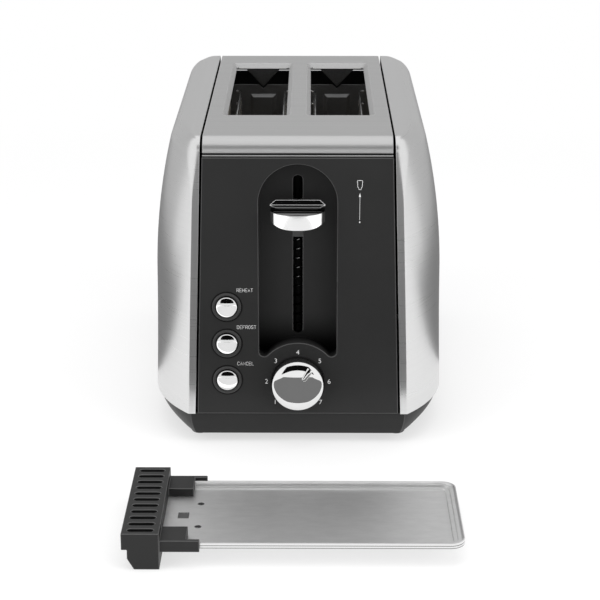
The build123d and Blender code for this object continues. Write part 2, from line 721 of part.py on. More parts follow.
# The oven
def bulkhead_sheet(y):
    """A bulkhead's flat, with the rack slits and the guides' pivot holes."""
    sheet = slab(
        -BULKHEAD_HALF_WIDTH, BULKHEAD_HALF_WIDTH, y, y + BULKHEAD_SHEET, BASE_TOP, BULKHEAD_TOP
    )
    ys = (y - CUT, y + BULKHEAD_SHEET + CUT)
    for x in SLOT_CENTRES:
        sheet = sheet - slab(x - SLIT_WIDTH / 2, x + SLIT_WIDTH / 2, *ys, RACK_SLIT_FOOT, RACK_SLIT_TOP)
    hole = GUIDE_WIRE_RADIUS + RUNNING_CLEARANCE
    for x in GUIDE_XS:
        sheet = sheet - lengthwise(hole, x, GUIDE_PIVOT_Z, *ys)
    return sheet


def front_bulkhead():
    """The oven's front wall, with a flange on the base and a shelf that steadies the rod."""
    sheet = bulkhead_sheet(FRONT_BULKHEAD_Y)
    half = BULKHEAD_HALF_WIDTH
    flange_front = FRONT_BULKHEAD_Y - BULKHEAD_FLANGE
    flange = slab(-half, half, flange_front, OVEN_FRONT, BASE_TOP, BASE_TOP + BULKHEAD_SHEET)
    shelf_half = CARRIAGE_WIDTH / 2
    shelf_top = ROD_SHELF_Z + BULKHEAD_SHEET
    shelf = slab(-shelf_half, shelf_half, CARRIAGE_Y, OVEN_FRONT, ROD_SHELF_Z, shelf_top)
    bore = upright(ROD_RADIUS + RUNNING_CLEARANCE, 0, ROD_Y, ROD_SHELF_Z - CUT, shelf_top + CUT)
    return sheet + flange + shelf - bore - screw_holes()


def rear_bulkhead():
    """The oven's rear wall, embossed behind each slot and notched for the tongues."""
    y = REAR_BULKHEAD_Y
    sheet = bulkhead_sheet(y)
    flange_rear = y + BULKHEAD_SHEET + BULKHEAD_FLANGE
    flange_top = BASE_TOP + BULKHEAD_SHEET
    half = BULKHEAD_HALF_WIDTH
    flange = slab(-half, half, y, flange_rear, BASE_TOP, flange_top)
    mouth_top = max(flange_top, TRAY_SEAT + PLATE_SHEET + TRAY_ARM_HEIGHT + TRAY_CLEARANCE)
    mouth = slab(-MOUTH_HALF, MOUTH_HALF, y - CUT, flange_rear + CUT, BASE_TOP - CUT, mouth_top)
    sheet = sheet + flange - mouth
    for x in SLOT_CENTRES:
        boss = emboss(x, EMBOSS_WIDTH, y) - emboss(x, EMBOSS_WIDTH - 2 * BULKHEAD_SHEET, y + BULKHEAD_SHEET)
        ys = (y - EMBOSS_DEPTH - CUT, y + BULKHEAD_SHEET + CUT)
        slit = slab(x - SLIT_WIDTH / 2, x + SLIT_WIDTH / 2, *ys, RACK_SLIT_FOOT, RACK_SLIT_TOP)
        sheet = sheet - emboss(x, EMBOSS_WIDTH - 2 * BULKHEAD_SHEET, y + BULKHEAD_SHEET) + (boss - slit)
        tip = BULKHEAD_TOP - NOTCH_DEPTH
        corners = ((x - NOTCH_WIDTH / 2, BULKHEAD_TOP), (x, tip), (x + NOTCH_WIDTH / 2, BULKHEAD_TOP))
        sheet = sheet - to_rear(front_plane(y - CUT) * Polygon(*corners, align=None), BULKHEAD_SHEET + 2 * CUT)
    return sheet - screw_holes()


def emboss(x, width, y):
    """A pressed pad on the rear bulkhead, sloping at its four sides."""
    middle = (EMBOSS_TOP + EMBOSS_FOOT) / 2
    height = EMBOSS_TOP - EMBOSS_FOOT - (EMBOSS_WIDTH - width)
    slope = 2 * EMBOSS_DEPTH
    root = front_plane(y) * (Pos(x, middle) * Rectangle(width, height))
    crown = front_plane(y - EMBOSS_DEPTH) * (Pos(x, middle) * Rectangle(width - slope, height - slope))
    return loft([crown, root])


def heat_shield(side):
    """A reflector between the oven and the side cover, standing on the deck."""
    x = side * (abs(HEATER_XS[0]) + SHIELD_GAP)
    ends = (OVEN_FRONT + HEATER_END_GAP, OVEN_REAR - HEATER_END_GAP)
    half = SHIELD_SHEET / 2
    return slab(x - half, x + half, *ends, BASE_TOP, BULKHEAD_TOP)


def heater_board(x):
    """A mica board between the bulkheads."""
    half = HEATER_SHEET / 2
    ends = (OVEN_FRONT + HEATER_END_GAP, OVEN_REAR - HEATER_END_GAP)
    return slab(x - half, x + half, *ends, HEATER_FOOT, HEATER_TOP)


def heating_ribbons():
    """Flat heating ribbon in level rows on the side of each board that faces its slot."""
    pitch = (HEATER_TOP - HEATER_FOOT - 2 * RIBBON_MARGIN) / (RIBBON_ROWS - 1)
    ends = (OVEN_FRONT + RIBBON_MARGIN, OVEN_REAR - RIBBON_MARGIN)
    shapes = []
    for x, slot in zip(HEATER_XS, (SLOT_CENTRES[0], SLOT_CENTRES[0], SLOT_CENTRES[1], SLOT_CENTRES[1])):
        way = 1 if slot > x else -1
        xs = sorted((x + way * HEATER_SHEET / 2, x + way * (HEATER_SHEET / 2 + RIBBON_SHEET)))
        for row in range(RIBBON_ROWS):
            z = HEATER_FOOT + RIBBON_MARGIN + row * pitch
            shapes.append(slab(*xs, *ends, z - RIBBON_WIDTH / 2, z + RIBBON_WIDTH / 2))
    return grouped(shapes)


def bread_guide(x):
    """A wire grid beside a slot. Its foot wire turns in both bulkheads and its top wires hook outwards."""
    front, rear = OVEN_FRONT + GUIDE_END_MARGIN, OVEN_REAR - GUIDE_END_MARGIN
    axle_ends = (FRONT_BULKHEAD_Y - GUIDE_AXLE_PROUD, OVEN_REAR + BULKHEAD_SHEET + GUIDE_AXLE_PROUD)
    slot = min(SLOT_CENTRES, key=lambda centre: abs(centre - x))
    hook_x = x + GUIDE_HOOK * (1 if x > slot else -1)
    shapes = [lengthwise(GUIDE_WIRE_RADIUS, x, GUIDE_PIVOT_Z, *axle_ends)]
    for z in (GUIDE_TOP, GUIDE_TOP - GUIDE_WIRE_PITCH):
        corners = [(hook_x, front, z), (x, front, z), (x, rear, z), (hook_x, rear, z)]
        path = FilletPolyline(*corners, radius=GUIDE_BEND)
        start = Plane(origin=path @ 0, z_dir=path % 0)
        shapes.append(sweep(start * Circle(GUIDE_WIRE_RADIUS), path=path))
    for i in range(GUIDE_UPRIGHTS):
        y = front + (rear - front) * (i + 0.5) / GUIDE_UPRIGHTS
        shapes.append(upright(GUIDE_UPRIGHT_RADIUS, x, y, GUIDE_PIVOT_Z, GUIDE_TOP))
    return joined(shapes)


# The lever, its carriage and the bread racks
def lever_knob():
    """A bowed finger bar with a faceted ridge standing at its back."""
    back = FRONT_Y
    top = LEVER_FOOT + LEVER_HEIGHT
    half = LEVER_WIDTH / 2
    edges = [
        Line((-half, back, LEVER_FOOT), (half, back, LEVER_FOOT)),
        Line((half, back, LEVER_FOOT), (half, FRONT_Y - LEVER_END_REACH, LEVER_FOOT)),
        ThreePointArc(
            (half, FRONT_Y - LEVER_END_REACH, LEVER_FOOT),
            (0, FRONT_Y - LEVER_REACH, LEVER_FOOT),
            (-half, FRONT_Y - LEVER_END_REACH, LEVER_FOOT),
        ),
        Line((-half, FRONT_Y - LEVER_END_REACH, LEVER_FOOT), (-half, back, LEVER_FOOT)),
    ]
    bar = extrude(Face(Wire(edges)), amount=LEVER_HEIGHT, dir=(0, 0, 1))
    bar = fillet(bar.edges().filter_by(Axis.Z).group_by(Axis.Y)[0], LEVER_CORNER)
    bar = fillet(bar.faces().sort_by(Axis.Z)[-1].edges().sort_by(Axis.Y)[:3], LEVER_EDGE)
    arch_radius = (half**2 + LEVER_ARCH**2) / (2 * LEVER_ARCH)
    bar = bar & lengthwise(arch_radius, 0, LEVER_FOOT + arch_radius, FRONT_Y - LEVER_REACH - CUT, back + CUT)
    ridge_z = top + BAR_HEIGHT / 2
    crown = top + BAR_HEIGHT
    tip = half + BAR_OVERHANG
    shoulder = tip - BAR_MITRE
    view = Polygon(
        (-tip, ridge_z), (-shoulder, top), (shoulder, top), (tip, ridge_z), (shoulder, crown), (-shoulder, crown),
        align=None,
    )
    ridge = to_rear(front_plane(back - BAR_RIDGE - BAR_DEPTH) * view, BAR_RIDGE + BAR_DEPTH)
    profile = Face(
        Wire.make_polygon(
            [
                (0, back, top),
                (0, back - BAR_DEPTH, top),
                (0, back - BAR_DEPTH - BAR_RIDGE, ridge_z),
                (0, back - BAR_DEPTH, crown),
                (0, back, crown),
            ]
        )
    )
    return bar + (ridge & extrude(profile, amount=LEVER_WIDTH, dir=(1, 0, 0), both=True))


def lever_arm():
    """The flat arm from the lever through the panel's slot to the carriage."""
    half = ARM_WIDTH / 2
    foot = LEVER_FOOT + ARM_RISE
    return slab(-half, half, FRONT_Y, CARRIAGE_Y, foot, foot + ARM_HEIGHT)


def carriage():
    """The block that slides on the rod, with an ear on each side."""
    half = CARRIAGE_WIDTH / 2
    block = slab(-half, half, CARRIAGE_Y, CARRIAGE_BACK, CARRIAGE_FOOT, CARRIAGE_FOOT + CARRIAGE_HEIGHT)
    wide = half + EAR_LENGTH
    ears = slab(-wide, wide, CARRIAGE_Y, CARRIAGE_BACK, CARRIAGE_FOOT, CARRIAGE_FOOT + EAR_HEIGHT)
    bore = upright(ROD_RADIUS + RUNNING_CLEARANCE, 0, ROD_Y, 0, BODY_HEIGHT)
    return block + ears - bore


def armature():
    """The iron plate under the right ear, which the magnet holds while the bread toasts."""
    x0 = MAGNET_X - MAGNET_WIDTH / 2
    y0 = ROD_Y - MAGNET_DEPTH / 2
    top = CARRIAGE_FOOT
    return slab(x0, x0 + MAGNET_WIDTH, y0, y0 + MAGNET_DEPTH, top - ARMATURE_SHEET, top)


def lift_crossbar():
    """The sheet behind the carriage that carries both racks."""
    half = SLOT_SPACING / 2 + RACK_BLADE
    top = CARRIAGE_FOOT + EAR_HEIGHT
    return slab(-half, half, CARRIAGE_BACK, CARRIAGE_BACK + CROSSBAR_SHEET, RACK_Z, top)


def bread_rack(x):
    """A blade through both bulkheads, with cross wires that the bread stands on."""
    half = RACK_BLADE / 2
    start = CARRIAGE_BACK + CROSSBAR_SHEET
    end = OVEN_REAR + BULKHEAD_SHEET + RACK_TAIL
    blade = slab(x - half, x + half, start, end, RACK_Z, RACK_Z + RACK_HEIGHT)
    finger_z = RACK_Z + RACK_HEIGHT - RACK_FINGER_RADIUS
    reach = RACK_FINGER_LENGTH / 2
    for i in range(RACK_FINGERS):
        y = SLOT_FRONT_Y + SLOT_LENGTH * (i + 0.5) / RACK_FINGERS
        blade = blade + crosswise(RACK_FINGER_RADIUS, y, finger_z, x - reach, x + reach)
    return blade


def guide_rod():
    """The upright rod that the carriage slides on."""
    return upright(ROD_RADIUS, 0, ROD_Y, BASE_TOP - BASE_DECK, ROD_SHELF_Z + BULKHEAD_SHEET + ROD_PROUD)


def biarc(start, start_way, end, end_way):
    """Two arcs that leave and arrive in given directions and meet smoothly."""
    chord = end - start
    ways = start_way + end_way
    spread = 2 * (1 - start_way.dot(end_way))
    along = chord.dot(ways)
    reach = (sqrt(along**2 + spread * chord.dot(chord)) - along) / spread
    near = start + start_way * reach
    far = end - end_way * reach
    middle = (near + far) * 0.5
    first = Edge.make_tangent_arc(start, start_way, middle)
    second = Edge.make_tangent_arc(middle, (far - near).normalized(), end)
    return [first, second]


def return_spring():
    """A compression spring round the rod, between the deck and the carriage."""
    wire = SPRING_WIRE / 2
    foot = BASE_TOP + wire + SPRING_SEAT_GAP
    head = CARRIAGE_FOOT - wire - SPRING_SEAT_GAP
    steps = SPRING_TURNS * 2
    rise = (head - foot) / steps
    slope = rise / (pi * SPRING_RADIUS)

    def place(i):
        turn = pi * i
        return Vector(SPRING_RADIUS * cos(turn), ROD_Y + SPRING_RADIUS * sin(turn), foot + rise * i)

    def way(i):
        turn = pi * i
        return Vector(-sin(turn), cos(turn), slope).normalized()

    edges = []
    for i in range(steps):
        edges += biarc(place(i), way(i), place(i + 1), way(i + 1))
    path = Wire(edges)
    per_turn = 24
    count = SPRING_TURNS * per_turn
    points = [path.position_at(i / count) for i in range(count + 1)]
    gap = min(
        (points[j] - points[i]).length
        for i in range(count + 1)
        for j in range(i + per_turn // 2, min(i + 2 * per_turn, count + 1))
    )
    print("return spring: least gap to itself", round(gap - SPRING_WIRE, 2), "mm")
    tube = sweep(Plane(origin=place(0), z_dir=way(0)) * Circle(wire), path=path)
    print("return spring: volume over section times length", round(tube.volume / (pi * wire**2 * path.length), 4))
    return tube


# The dial, the buttons and the electrics
def browning_knob():
    """A domed knob with a blind bore for its shaft."""
    back = FRONT_Y - KNOB_GAP
    body = domed(KNOB_RADIUS, 0, DIAL_Z, back - KNOB_RIM - KNOB_DOME, KNOB_DOME, back)
    return body - lengthwise(SHAFT_RADIUS + RUNNING_CLEARANCE, 0, DIAL_Z, back - SHAFT_GRIP, back + CUT)


def knob_shaft():
    """The shaft from the knob into the potentiometer."""
    return lengthwise(SHAFT_RADIUS, 0, DIAL_Z, FRONT_Y - KNOB_GAP - SHAFT_GRIP, BOARD_Y - POT_LENGTH + SHAFT_ENTRY)


def dial_ring():
    """A raised ring on the panel round the knob."""
    outer = lengthwise(DIAL_RING_RADIUS, 0, DIAL_Z, FRONT_Y - DIAL_RING_HEIGHT, FRONT_Y)
    inner = DIAL_RING_RADIUS - DIAL_RING_WIDTH
    return outer - lengthwise(inner, 0, DIAL_Z, FRONT_Y - DIAL_RING_HEIGHT - CUT, FRONT_Y + CUT)


def push_button(z):
    """A low dome on a stem that reaches towards its switch."""
    face = FRONT_Y - BUTTON_PROUD
    back = face + BUTTON_DEPTH
    stem_end = BOARD_Y - SWITCH_HEIGHT - BUTTON_TRAVEL - BUTTON_CLEARANCE
    cap = domed(BUTTON_RADIUS, BUTTON_X, z, face, BUTTON_DOME, back)
    return cap + lengthwise(BUTTON_STEM_RADIUS, BUTTON_X, z, back, stem_end)


def button_bezels():
    """A ring round each button."""
    shapes = []
    for z in BUTTON_ZS:
        ring = lengthwise(BEZEL_RADIUS, BUTTON_X, z, FRONT_Y - BEZEL_HEIGHT, FRONT_Y)
        inner = BUTTON_RADIUS + BUTTON_CLEARANCE
        shapes.append(ring - lengthwise(inner, BUTTON_X, z, FRONT_Y - BEZEL_HEIGHT - CUT, FRONT_Y + CUT))
    return grouped(shapes)


def control_board():
    """An L-shaped board: a column behind the buttons and a foot behind the dial."""
    ys = (BOARD_Y, BOARD_Y + BOARD_SHEET)
    column = slab(BOARD_LEFT, BOARD_LEFT + BOARD_COLUMN, *ys, BOARD_FOOT, BOARD_TOP)
    shelf = slab(BOARD_LEFT, BOARD_RIGHT, *ys, BOARD_FOOT, DIAL_Z + POT_RADIUS + BOARD_SHELF_MARGIN)
    board = column + shelf
    hole = SCREW_RADIUS + SCREW_CLEARANCE
    for x, z in board_bosses():
        board = board - lengthwise(hole, x, z, BOARD_Y - CUT, BOARD_Y + BOARD_SHEET + CUT)
    return board


def board_screws():
    """Screws through the board into the panel's bosses."""
    shapes = []
    back = BOARD_Y + BOARD_SHEET
    for x, z in board_bosses():
        head = lengthwise(SCREW_HEAD_RADIUS, x, z, back, back + SCREW_HEAD)
        shapes.append(head + lengthwise(SCREW_RADIUS - RUNNING_CLEARANCE, x, z, BOARD_Y - SCREW_BITE, back))
    return grouped(shapes)


def tact_switches():
    """One small switch behind each button."""
    half = SWITCH_SIDE / 2
    return grouped(
        [
            slab(BUTTON_X - half, BUTTON_X + half, BOARD_Y - SWITCH_HEIGHT, BOARD_Y, z - half, z + half)
            for z in BUTTON_ZS
        ]
    )


def potentiometer():
    """The dial's potentiometer on the board, open for the shaft."""
    body = lengthwise(POT_RADIUS, 0, DIAL_Z, BOARD_Y - POT_LENGTH, BOARD_Y)
    face = BOARD_Y - POT_LENGTH
    bore_end = face + SHAFT_ENTRY + POT_BORE_ROOM
    return body - lengthwise(SHAFT_RADIUS + RUNNING_CLEARANCE, 0, DIAL_Z, face - CUT, bore_end)


def magnet_core():
    """A U of iron on the deck, its poles under the armature."""
    x0 = MAGNET_X - MAGNET_WIDTH / 2
    x1 = x0 + MAGNET_WIDTH
    ys = (ROD_Y - MAGNET_DEPTH / 2, ROD_Y + MAGNET_DEPTH / 2)
    yoke_top = BASE_TOP + MAGNET_YOKE
    pole_top = magnet_top()
    yoke = slab(x0, x1, *ys, BASE_TOP, yoke_top)
    left_pole = slab(x0, x0 + MAGNET_POLE, *ys, yoke_top, pole_top)
    return yoke + left_pole + slab(x1 - MAGNET_POLE, x1, *ys, yoke_top, pole_top)


def magnet_top():
    """Just below the armature with the lever held down."""
    return CARRIAGE_FOOT - ARMATURE_SHEET - LEVER_DOWN - MAGNET_REST


def magnet_coil():
    """The winding round the right pole."""
    x1 = MAGNET_X + MAGNET_WIDTH / 2
    x0 = x1 - MAGNET_POLE
    y0, y1 = ROD_Y - MAGNET_DEPTH / 2, ROD_Y + MAGNET_DEPTH / 2
    foot = BASE_TOP + MAGNET_YOKE + COIL_END_GAP
    wall = COIL_WALL
    fit = SCREW_CLEARANCE
    outer = slab(x0 - wall, x1 + wall, y0 - wall, y1 + wall, foot, foot + COIL_LENGTH)
    return outer - slab(x0 - fit, x1 + fit, y0 - fit, y1 + fit, foot - CUT, foot + COIL_LENGTH + CUT)


def contact_block():
    """The mains switch's block on the deck."""
    half = CONTACT_WIDTH / 2
    ys = (ROD_Y - MAGNET_DEPTH / 2, ROD_Y + MAGNET_DEPTH / 2)
    return slab(CONTACT_X - half, CONTACT_X + half, *ys, BASE_TOP, CONTACT_TOP - BLADE_HEIGHT)


def contact_blades():
    """Two copper blades on the block, which the left ear presses."""
    shapes = []
    for x in (CONTACT_X - BLADE_WIDTH, CONTACT_X + BLADE_WIDTH):
        ys = (ROD_Y - BLADE_WIDTH / 2, ROD_Y + BLADE_WIDTH / 2)
        xs = (x - BLADE_SHEET / 2, x + BLADE_SHEET / 2)
        shapes.append(slab(*xs, *ys, CONTACT_TOP - BLADE_HEIGHT, CONTACT_TOP))
    return grouped(shapes)


def terminal_block():
    """Where the mains lead joins the wiring, on the back of the rear bulkhead."""
    half = TERMINAL_WIDTH / 2
    face = REAR_BULKHEAD_Y + BULKHEAD_SHEET
    return slab(-half, half, face, face + TERMINAL_DEPTH, TERMINAL_Z, TERMINAL_Z + TERMINAL_HEIGHT)


# The crumb tray
def tray_place(shape):
    """From the tray's own axes, its handle's outer face at x = 0, to where it lies."""
    return Pos(TRAY_X, TRAY_Y, 0) * shape


def plate_outline(shrink):
    """The plate from above, with two rounded far corners."""
    start = HANDLE_DEPTH - PLATE_TUCK
    end = TRAY_LENGTH - shrink
    half = PLATE_WIDTH / 2 - shrink
    radius = PLATE_CORNER - shrink
    edges = [
        Line((start, -half), (end - radius, -half)),
        TangentArc((end - radius, -half), (end, radius - half), tangent=(1, 0)),
        Line((end, radius - half), (end, half - radius)),
        TangentArc((end, half - radius), (end - radius, half), tangent=(0, 1)),
        Line((end - radius, half), (start, half)),
        Line((start, half), (start, -half)),
    ]
    return Face(Wire(edges))


def rivet_places():
    """In the middle of each arm."""
    x = HANDLE_DEPTH + TRAY_ARM_LENGTH / 2
    return [(x, side * (PLATE_WIDTH / 2 - TRAY_ARM_WIDTH / 2)) for side in (-1, 1)]


def tray_plate():
    """A steel sheet with a rim on three sides, lanced and windowed near the handle."""
    tall = Pos(0, 0, PLATE_Z) * extrude(plate_outline(0), amount=PLATE_RIM, dir=(0, 0, 1))
    hollow = Pos(0, 0, PLATE_Z + PLATE_SHEET) * extrude(plate_outline(PLATE_SHEET), amount=PLATE_RIM, dir=(0, 0, 1))
    plate = tall - hollow
    rim_start = HANDLE_DEPTH + SKIRT_LENGTH
    half = PLATE_WIDTH / 2
    rim_top = PLATE_Z + PLATE_RIM + CUT
    plate = plate - slab(0, rim_start, -half - CUT, half + CUT, PLATE_Z + PLATE_SHEET, rim_top)
    hole = RIVET_RADIUS + RUNNING_CLEARANCE
    for x, y in rivet_places():
        plate = plate - upright(hole, x, y, PLATE_Z - CUT, rim_top)
    lance_x = HANDLE_DEPTH + TRAY_ARM_LENGTH + LANCE_SIDE * 1.5
    for side in (-1, 1):
        lance = Pos(lance_x, side * LANCE_SPAN / 2, PLATE_Z) * Rot(0, 0, 45) * Box(LANCE_SIDE, LANCE_SIDE, 4 * CUT)
        plate = plate - lance
    window_x = HANDLE_DEPTH + TRAY_ARM_LENGTH / 2 + WINDOW_LENGTH / 2
    plate = plate - Pos(window_x, 0, PLATE_Z) * Box(WINDOW_LENGTH, WINDOW_WIDTH, 4 * CUT)
    return tray_place(plate)


def tray_handle():
    """A vented handle with a lip, a slanted foot and two arms that hold the plate."""
    half = HANDLE_WIDTH / 2
    lip_foot = HANDLE_HEIGHT - HANDLE_LIP_HEIGHT
    profile = Face(
        Wire.make_polygon(
            [
                (0, -half, HANDLE_HEIGHT),
                (0, -half, lip_foot),
                (HANDLE_LIP, -half, lip_foot),
                (HANDLE_LIP, -half, HANDLE_SLANT_HEIGHT),
                (HANDLE_LIP + HANDLE_SLANT_WIDTH, -half, 0),
                (HANDLE_DEPTH, -half, 0),
                (HANDLE_DEPTH, -half, HANDLE_HEIGHT),
            ]
        )
    )
    handle = extrude(profile, amount=HANDLE_WIDTH, dir=(0, 1, 0))
    for i in range(VENT_COUNT):
        y = (i - (VENT_COUNT - 1) / 2) * VENT_PITCH
        outline = Pos(HANDLE_DEPTH / 2, y, HANDLE_HEIGHT - VENT_DEPTH) * SlotOverall(VENT_LENGTH, VENT_WIDTH)
        handle = handle - extrude(outline, amount=VENT_DEPTH + CUT, dir=(0, 0, 1))
    plate_half = PLATE_WIDTH / 2
    seat = PLATE_Z + PLATE_SHEET
    tuck = HANDLE_DEPTH - PLATE_TUCK
    handle = handle - slab(tuck, HANDLE_DEPTH + CUT, -plate_half, plate_half, PLATE_Z, seat)
    for side in (-1, 1):
        ys = sorted((side * plate_half, side * (plate_half - TRAY_ARM_WIDTH)))
        arm_end = HANDLE_DEPTH + TRAY_ARM_LENGTH
        handle = handle + slab(HANDLE_DEPTH, arm_end, *ys, seat, seat + TRAY_ARM_HEIGHT)
        ys = sorted((side * plate_half, side * (plate_half + SKIRT_SHEET)))
        skirt_end = HANDLE_DEPTH + SKIRT_LENGTH
        handle = handle + slab(HANDLE_DEPTH, skirt_end, *ys, PLATE_Z - SKIRT_DROP, seat + TRAY_ARM_HEIGHT)
    hole = RIVET_RADIUS + RUNNING_CLEARANCE
    for x, y in rivet_places():
        handle = handle - upright(hole, x, y, seat - CUT, seat + TRAY_ARM_HEIGHT - RIVET_COVER)
    return tray_place(handle)


def tray_rivets():
    """Rivets driven up through the plate into the arms."""
    shapes = []
    top = PLATE_Z + PLATE_SHEET + TRAY_ARM_HEIGHT - RIVET_COVER - RUNNING_CLEARANCE
    for x, y in rivet_places():
        head = upright(RIVET_HEAD_RADIUS, x, y, PLATE_Z - RIVET_HEAD, PLATE_Z)
        shapes.append(head + upright(RIVET_RADIUS, x, y, PLATE_Z, top))
    return tray_place(grouped(shapes))


os.makedirs("parts", exist_ok=True)

cover = right_side_cover()
write("right_side_cover", cover)
write("left_side_cover", mirrored(cover))
write("top_cover", top_cover())
write("base", base())
write("feet", feet())
write("base_screws", base_screws())
write("front_panel", front_panel())
write("rear_panel", rear_panel())
write("cord_gland", cord_gland())
write("front_bulkhead", front_bulkhead())
write("rear_bulkhead", rear_bulkhead())
write("left_heat_shield", heat_shield(-1))
write("right_heat_shield", heat_shield(1))
for name, x in zip(SIDES, HEATER_XS):
    write(f"{name}_heater", heater_board(x))
write("heating_ribbons", heating_ribbons())
for name, x in zip(SIDES, GUIDE_XS):
    write(f"{name}_guide", bread_guide(x))
write("lever_knob", lever_knob())
write("lever_arm", lever_arm())
write("carriage", carriage())
write("armature", armature())
write("lift_crossbar", lift_crossbar())
write("left_bread_rack", bread_rack(SLOT_CENTRES[0]))
write("right_bread_rack", bread_rack(SLOT_CENTRES[1]))
write("guide_rod", guide_rod())
write("return_spring", return_spring())
write("browning_knob", browning_knob())
write("knob_shaft", knob_shaft())
write("dial_ring", dial_ring())
for name, z in zip(("reheat", "defrost", "cancel"), BUTTON_ZS):
    write(f"{name}_button", push_button(z))
write("button_bezels", button_bezels())
write("control_board", control_board())
write("board_screws", board_screws())
write("tact_switches", tact_switches())
write("potentiometer", potentiometer())
write("magnet_core", magnet_core())
write("magnet_coil", magnet_coil())
write("contact_block", contact_block())
write("contact_blades", contact_blades())
write("terminal_block", terminal_block())
write("tray_plate", tray_plate())
write("tray_handle", tray_handle())
write("tray_rivets", tray_rivets())
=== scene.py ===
"""The looks of the pop-up toaster and its crumb tray: finishes, printed marks, studio and camera."""
import json
from math import asin, cos, pi, radians, sin, sqrt

import bmesh
import bpy
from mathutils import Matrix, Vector

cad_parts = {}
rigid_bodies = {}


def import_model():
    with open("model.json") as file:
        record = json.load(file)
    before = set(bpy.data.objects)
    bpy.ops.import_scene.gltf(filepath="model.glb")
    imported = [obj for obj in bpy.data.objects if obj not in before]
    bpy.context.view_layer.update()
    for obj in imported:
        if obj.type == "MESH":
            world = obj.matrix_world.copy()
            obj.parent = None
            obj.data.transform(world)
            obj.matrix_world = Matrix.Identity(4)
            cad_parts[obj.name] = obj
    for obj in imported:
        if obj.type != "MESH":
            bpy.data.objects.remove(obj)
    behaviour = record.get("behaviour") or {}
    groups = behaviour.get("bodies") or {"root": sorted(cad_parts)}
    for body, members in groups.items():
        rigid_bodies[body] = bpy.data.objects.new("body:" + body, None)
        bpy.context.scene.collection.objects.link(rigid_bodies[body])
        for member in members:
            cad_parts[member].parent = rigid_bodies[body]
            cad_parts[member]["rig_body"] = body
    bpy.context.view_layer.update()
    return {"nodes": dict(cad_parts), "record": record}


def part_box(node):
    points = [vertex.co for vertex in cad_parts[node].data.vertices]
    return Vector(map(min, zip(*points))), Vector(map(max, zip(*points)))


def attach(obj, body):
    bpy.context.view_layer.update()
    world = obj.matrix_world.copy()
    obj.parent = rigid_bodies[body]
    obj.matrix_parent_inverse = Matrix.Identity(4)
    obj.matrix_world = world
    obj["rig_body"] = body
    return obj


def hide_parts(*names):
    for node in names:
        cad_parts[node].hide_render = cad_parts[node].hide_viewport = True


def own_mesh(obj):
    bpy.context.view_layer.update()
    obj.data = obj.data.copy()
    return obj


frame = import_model()
nodes = frame["nodes"]
MM = 0.001
WELD = 1e-6
FINE_WELD = 1e-7

# The camera, as the photograph was taken
CAMERA_X = 0.0077
CAMERA_SETBACK = 1.072
CAMERA_HEIGHT = 0.4366
CAMERA_PITCH = 17.78
CAMERA_YAW = 0.34
CAMERA_LENS = 112.8
SENSOR_WIDTH = 36.0

# Places read from the frame
FRONT_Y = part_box("front_panel")[0].y
REAR_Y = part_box("rear_panel")[1].y
BASE_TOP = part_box("right_side_cover")[0].z
BODY_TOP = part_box("top_cover")[1].z
FOOT_HALF_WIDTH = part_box("right_side_cover")[1].x
DIAL_Z = sum(corner.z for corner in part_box("browning_knob")) / 2

# The side covers' form, as the solids have it, but with a sheet that closes on the base and rounded edges
SEAM_GAP = 1.2 * MM
SEAM_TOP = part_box("top_cover")[1].x + SEAM_GAP / 2
SEAM_FLARE = 5.3 * MM
SEAM_LIP = 0.5 * MM
STRIP_WIDTH = 5.0 * MM
REAR_STRIP_SHARE = 0.33
CORNER_REACH = 65.0 * MM
REAR_CORNER_REACH = 17.0 * MM
FOOT_FLARE = 1.5 * MM
FLARE_POWER = 1.5
HALF_WIDTH = FOOT_HALF_WIDTH - FOOT_FLARE
SHOULDER_RADIUS = 16.0 * MM
SHOULDER_FLAT = 6.5 * MM
SHOULDER_X = SEAM_TOP + SHOULDER_FLAT
SIDE_LEAN = radians(13.4)
BOW_RADIUS = 375.0 * MM
TOP_BEND = 8.5 * MM
COVER_SHEET = 1.15 * MM
COVER_LAP = 0.3 * MM
CREASE_ROUND = 0.6 * MM
CREASE_OPEN = 4.5 * MM
CREASE_FADE = 155.0 * MM
CREASE_SPREAD = 2.0
CREASE_LIMIT = 0.9
CREASE_CLEAR = 1.02
FLARE_STEPS, BOW_STEPS, SHOULDER_STEPS = 8, 16, 24
FRONT_CORNER_STEPS, REAR_CORNER_STEPS, SIDE_STEPS = 24, 16, 12
LIP_STEPS, STRIP_STEPS, CREASE_STEPS = 4, 3, 6

# The knob, buttons and lever
KNOB_DOME_RADIUS = 11.0 * MM
KNOB_SPHERE = 41.0 * MM
KNOB_TILT = asin(KNOB_DOME_RADIUS / KNOB_SPHERE)
KNOB_ROLL = 11.0 * MM
KNOB_STEP = 0.3 * MM
KNOB_RELIEF = 0.7 * MM
KNOB_STEPS = 24
CAP_STEPS = 160
POINTER_TURN = 34.5
POINTER_INNER = 5.4 * MM
POINTER_OUTER = 13.6 * MM
POINTER_WIDTH = 4.0 * MM
POINTER_LIFT = 1.3 * MM
POINTER_SINK = 0.05 * MM
POINTER_NOSE = 0.2
POINTER_TAPER = 0.72
POINTER_ARCH = 0.6
POINTER_STEPS = 24
POINTER_ARCH_STEPS = 10
BUTTON_SPHERE = 12.5 * MM
BUTTON_ROLL = 0.7 * MM
BUTTON_DEPTH = 4.0 * MM
BUTTON_STEM = 2.0 * MM
BUTTON_DOME_STEPS, BUTTON_ROLL_STEPS = 16, 8
BEZEL_RADIUS = 9.6 * MM
BEZEL_GAP = 0.45 * MM
BEZEL_GROOVE = 0.9 * MM
BEZEL_EDGE = 0.35
GROOVE_LIFT = 0.06 * MM
DIAL_RING_WIDTH = 0.9 * MM
DIAL_RING_CHAMFER = 0.3 * MM
DIAL_RING_STEPS = 128
LEVER_SAG = 8.7 * MM
LEVER_CORNER = 1.5 * MM
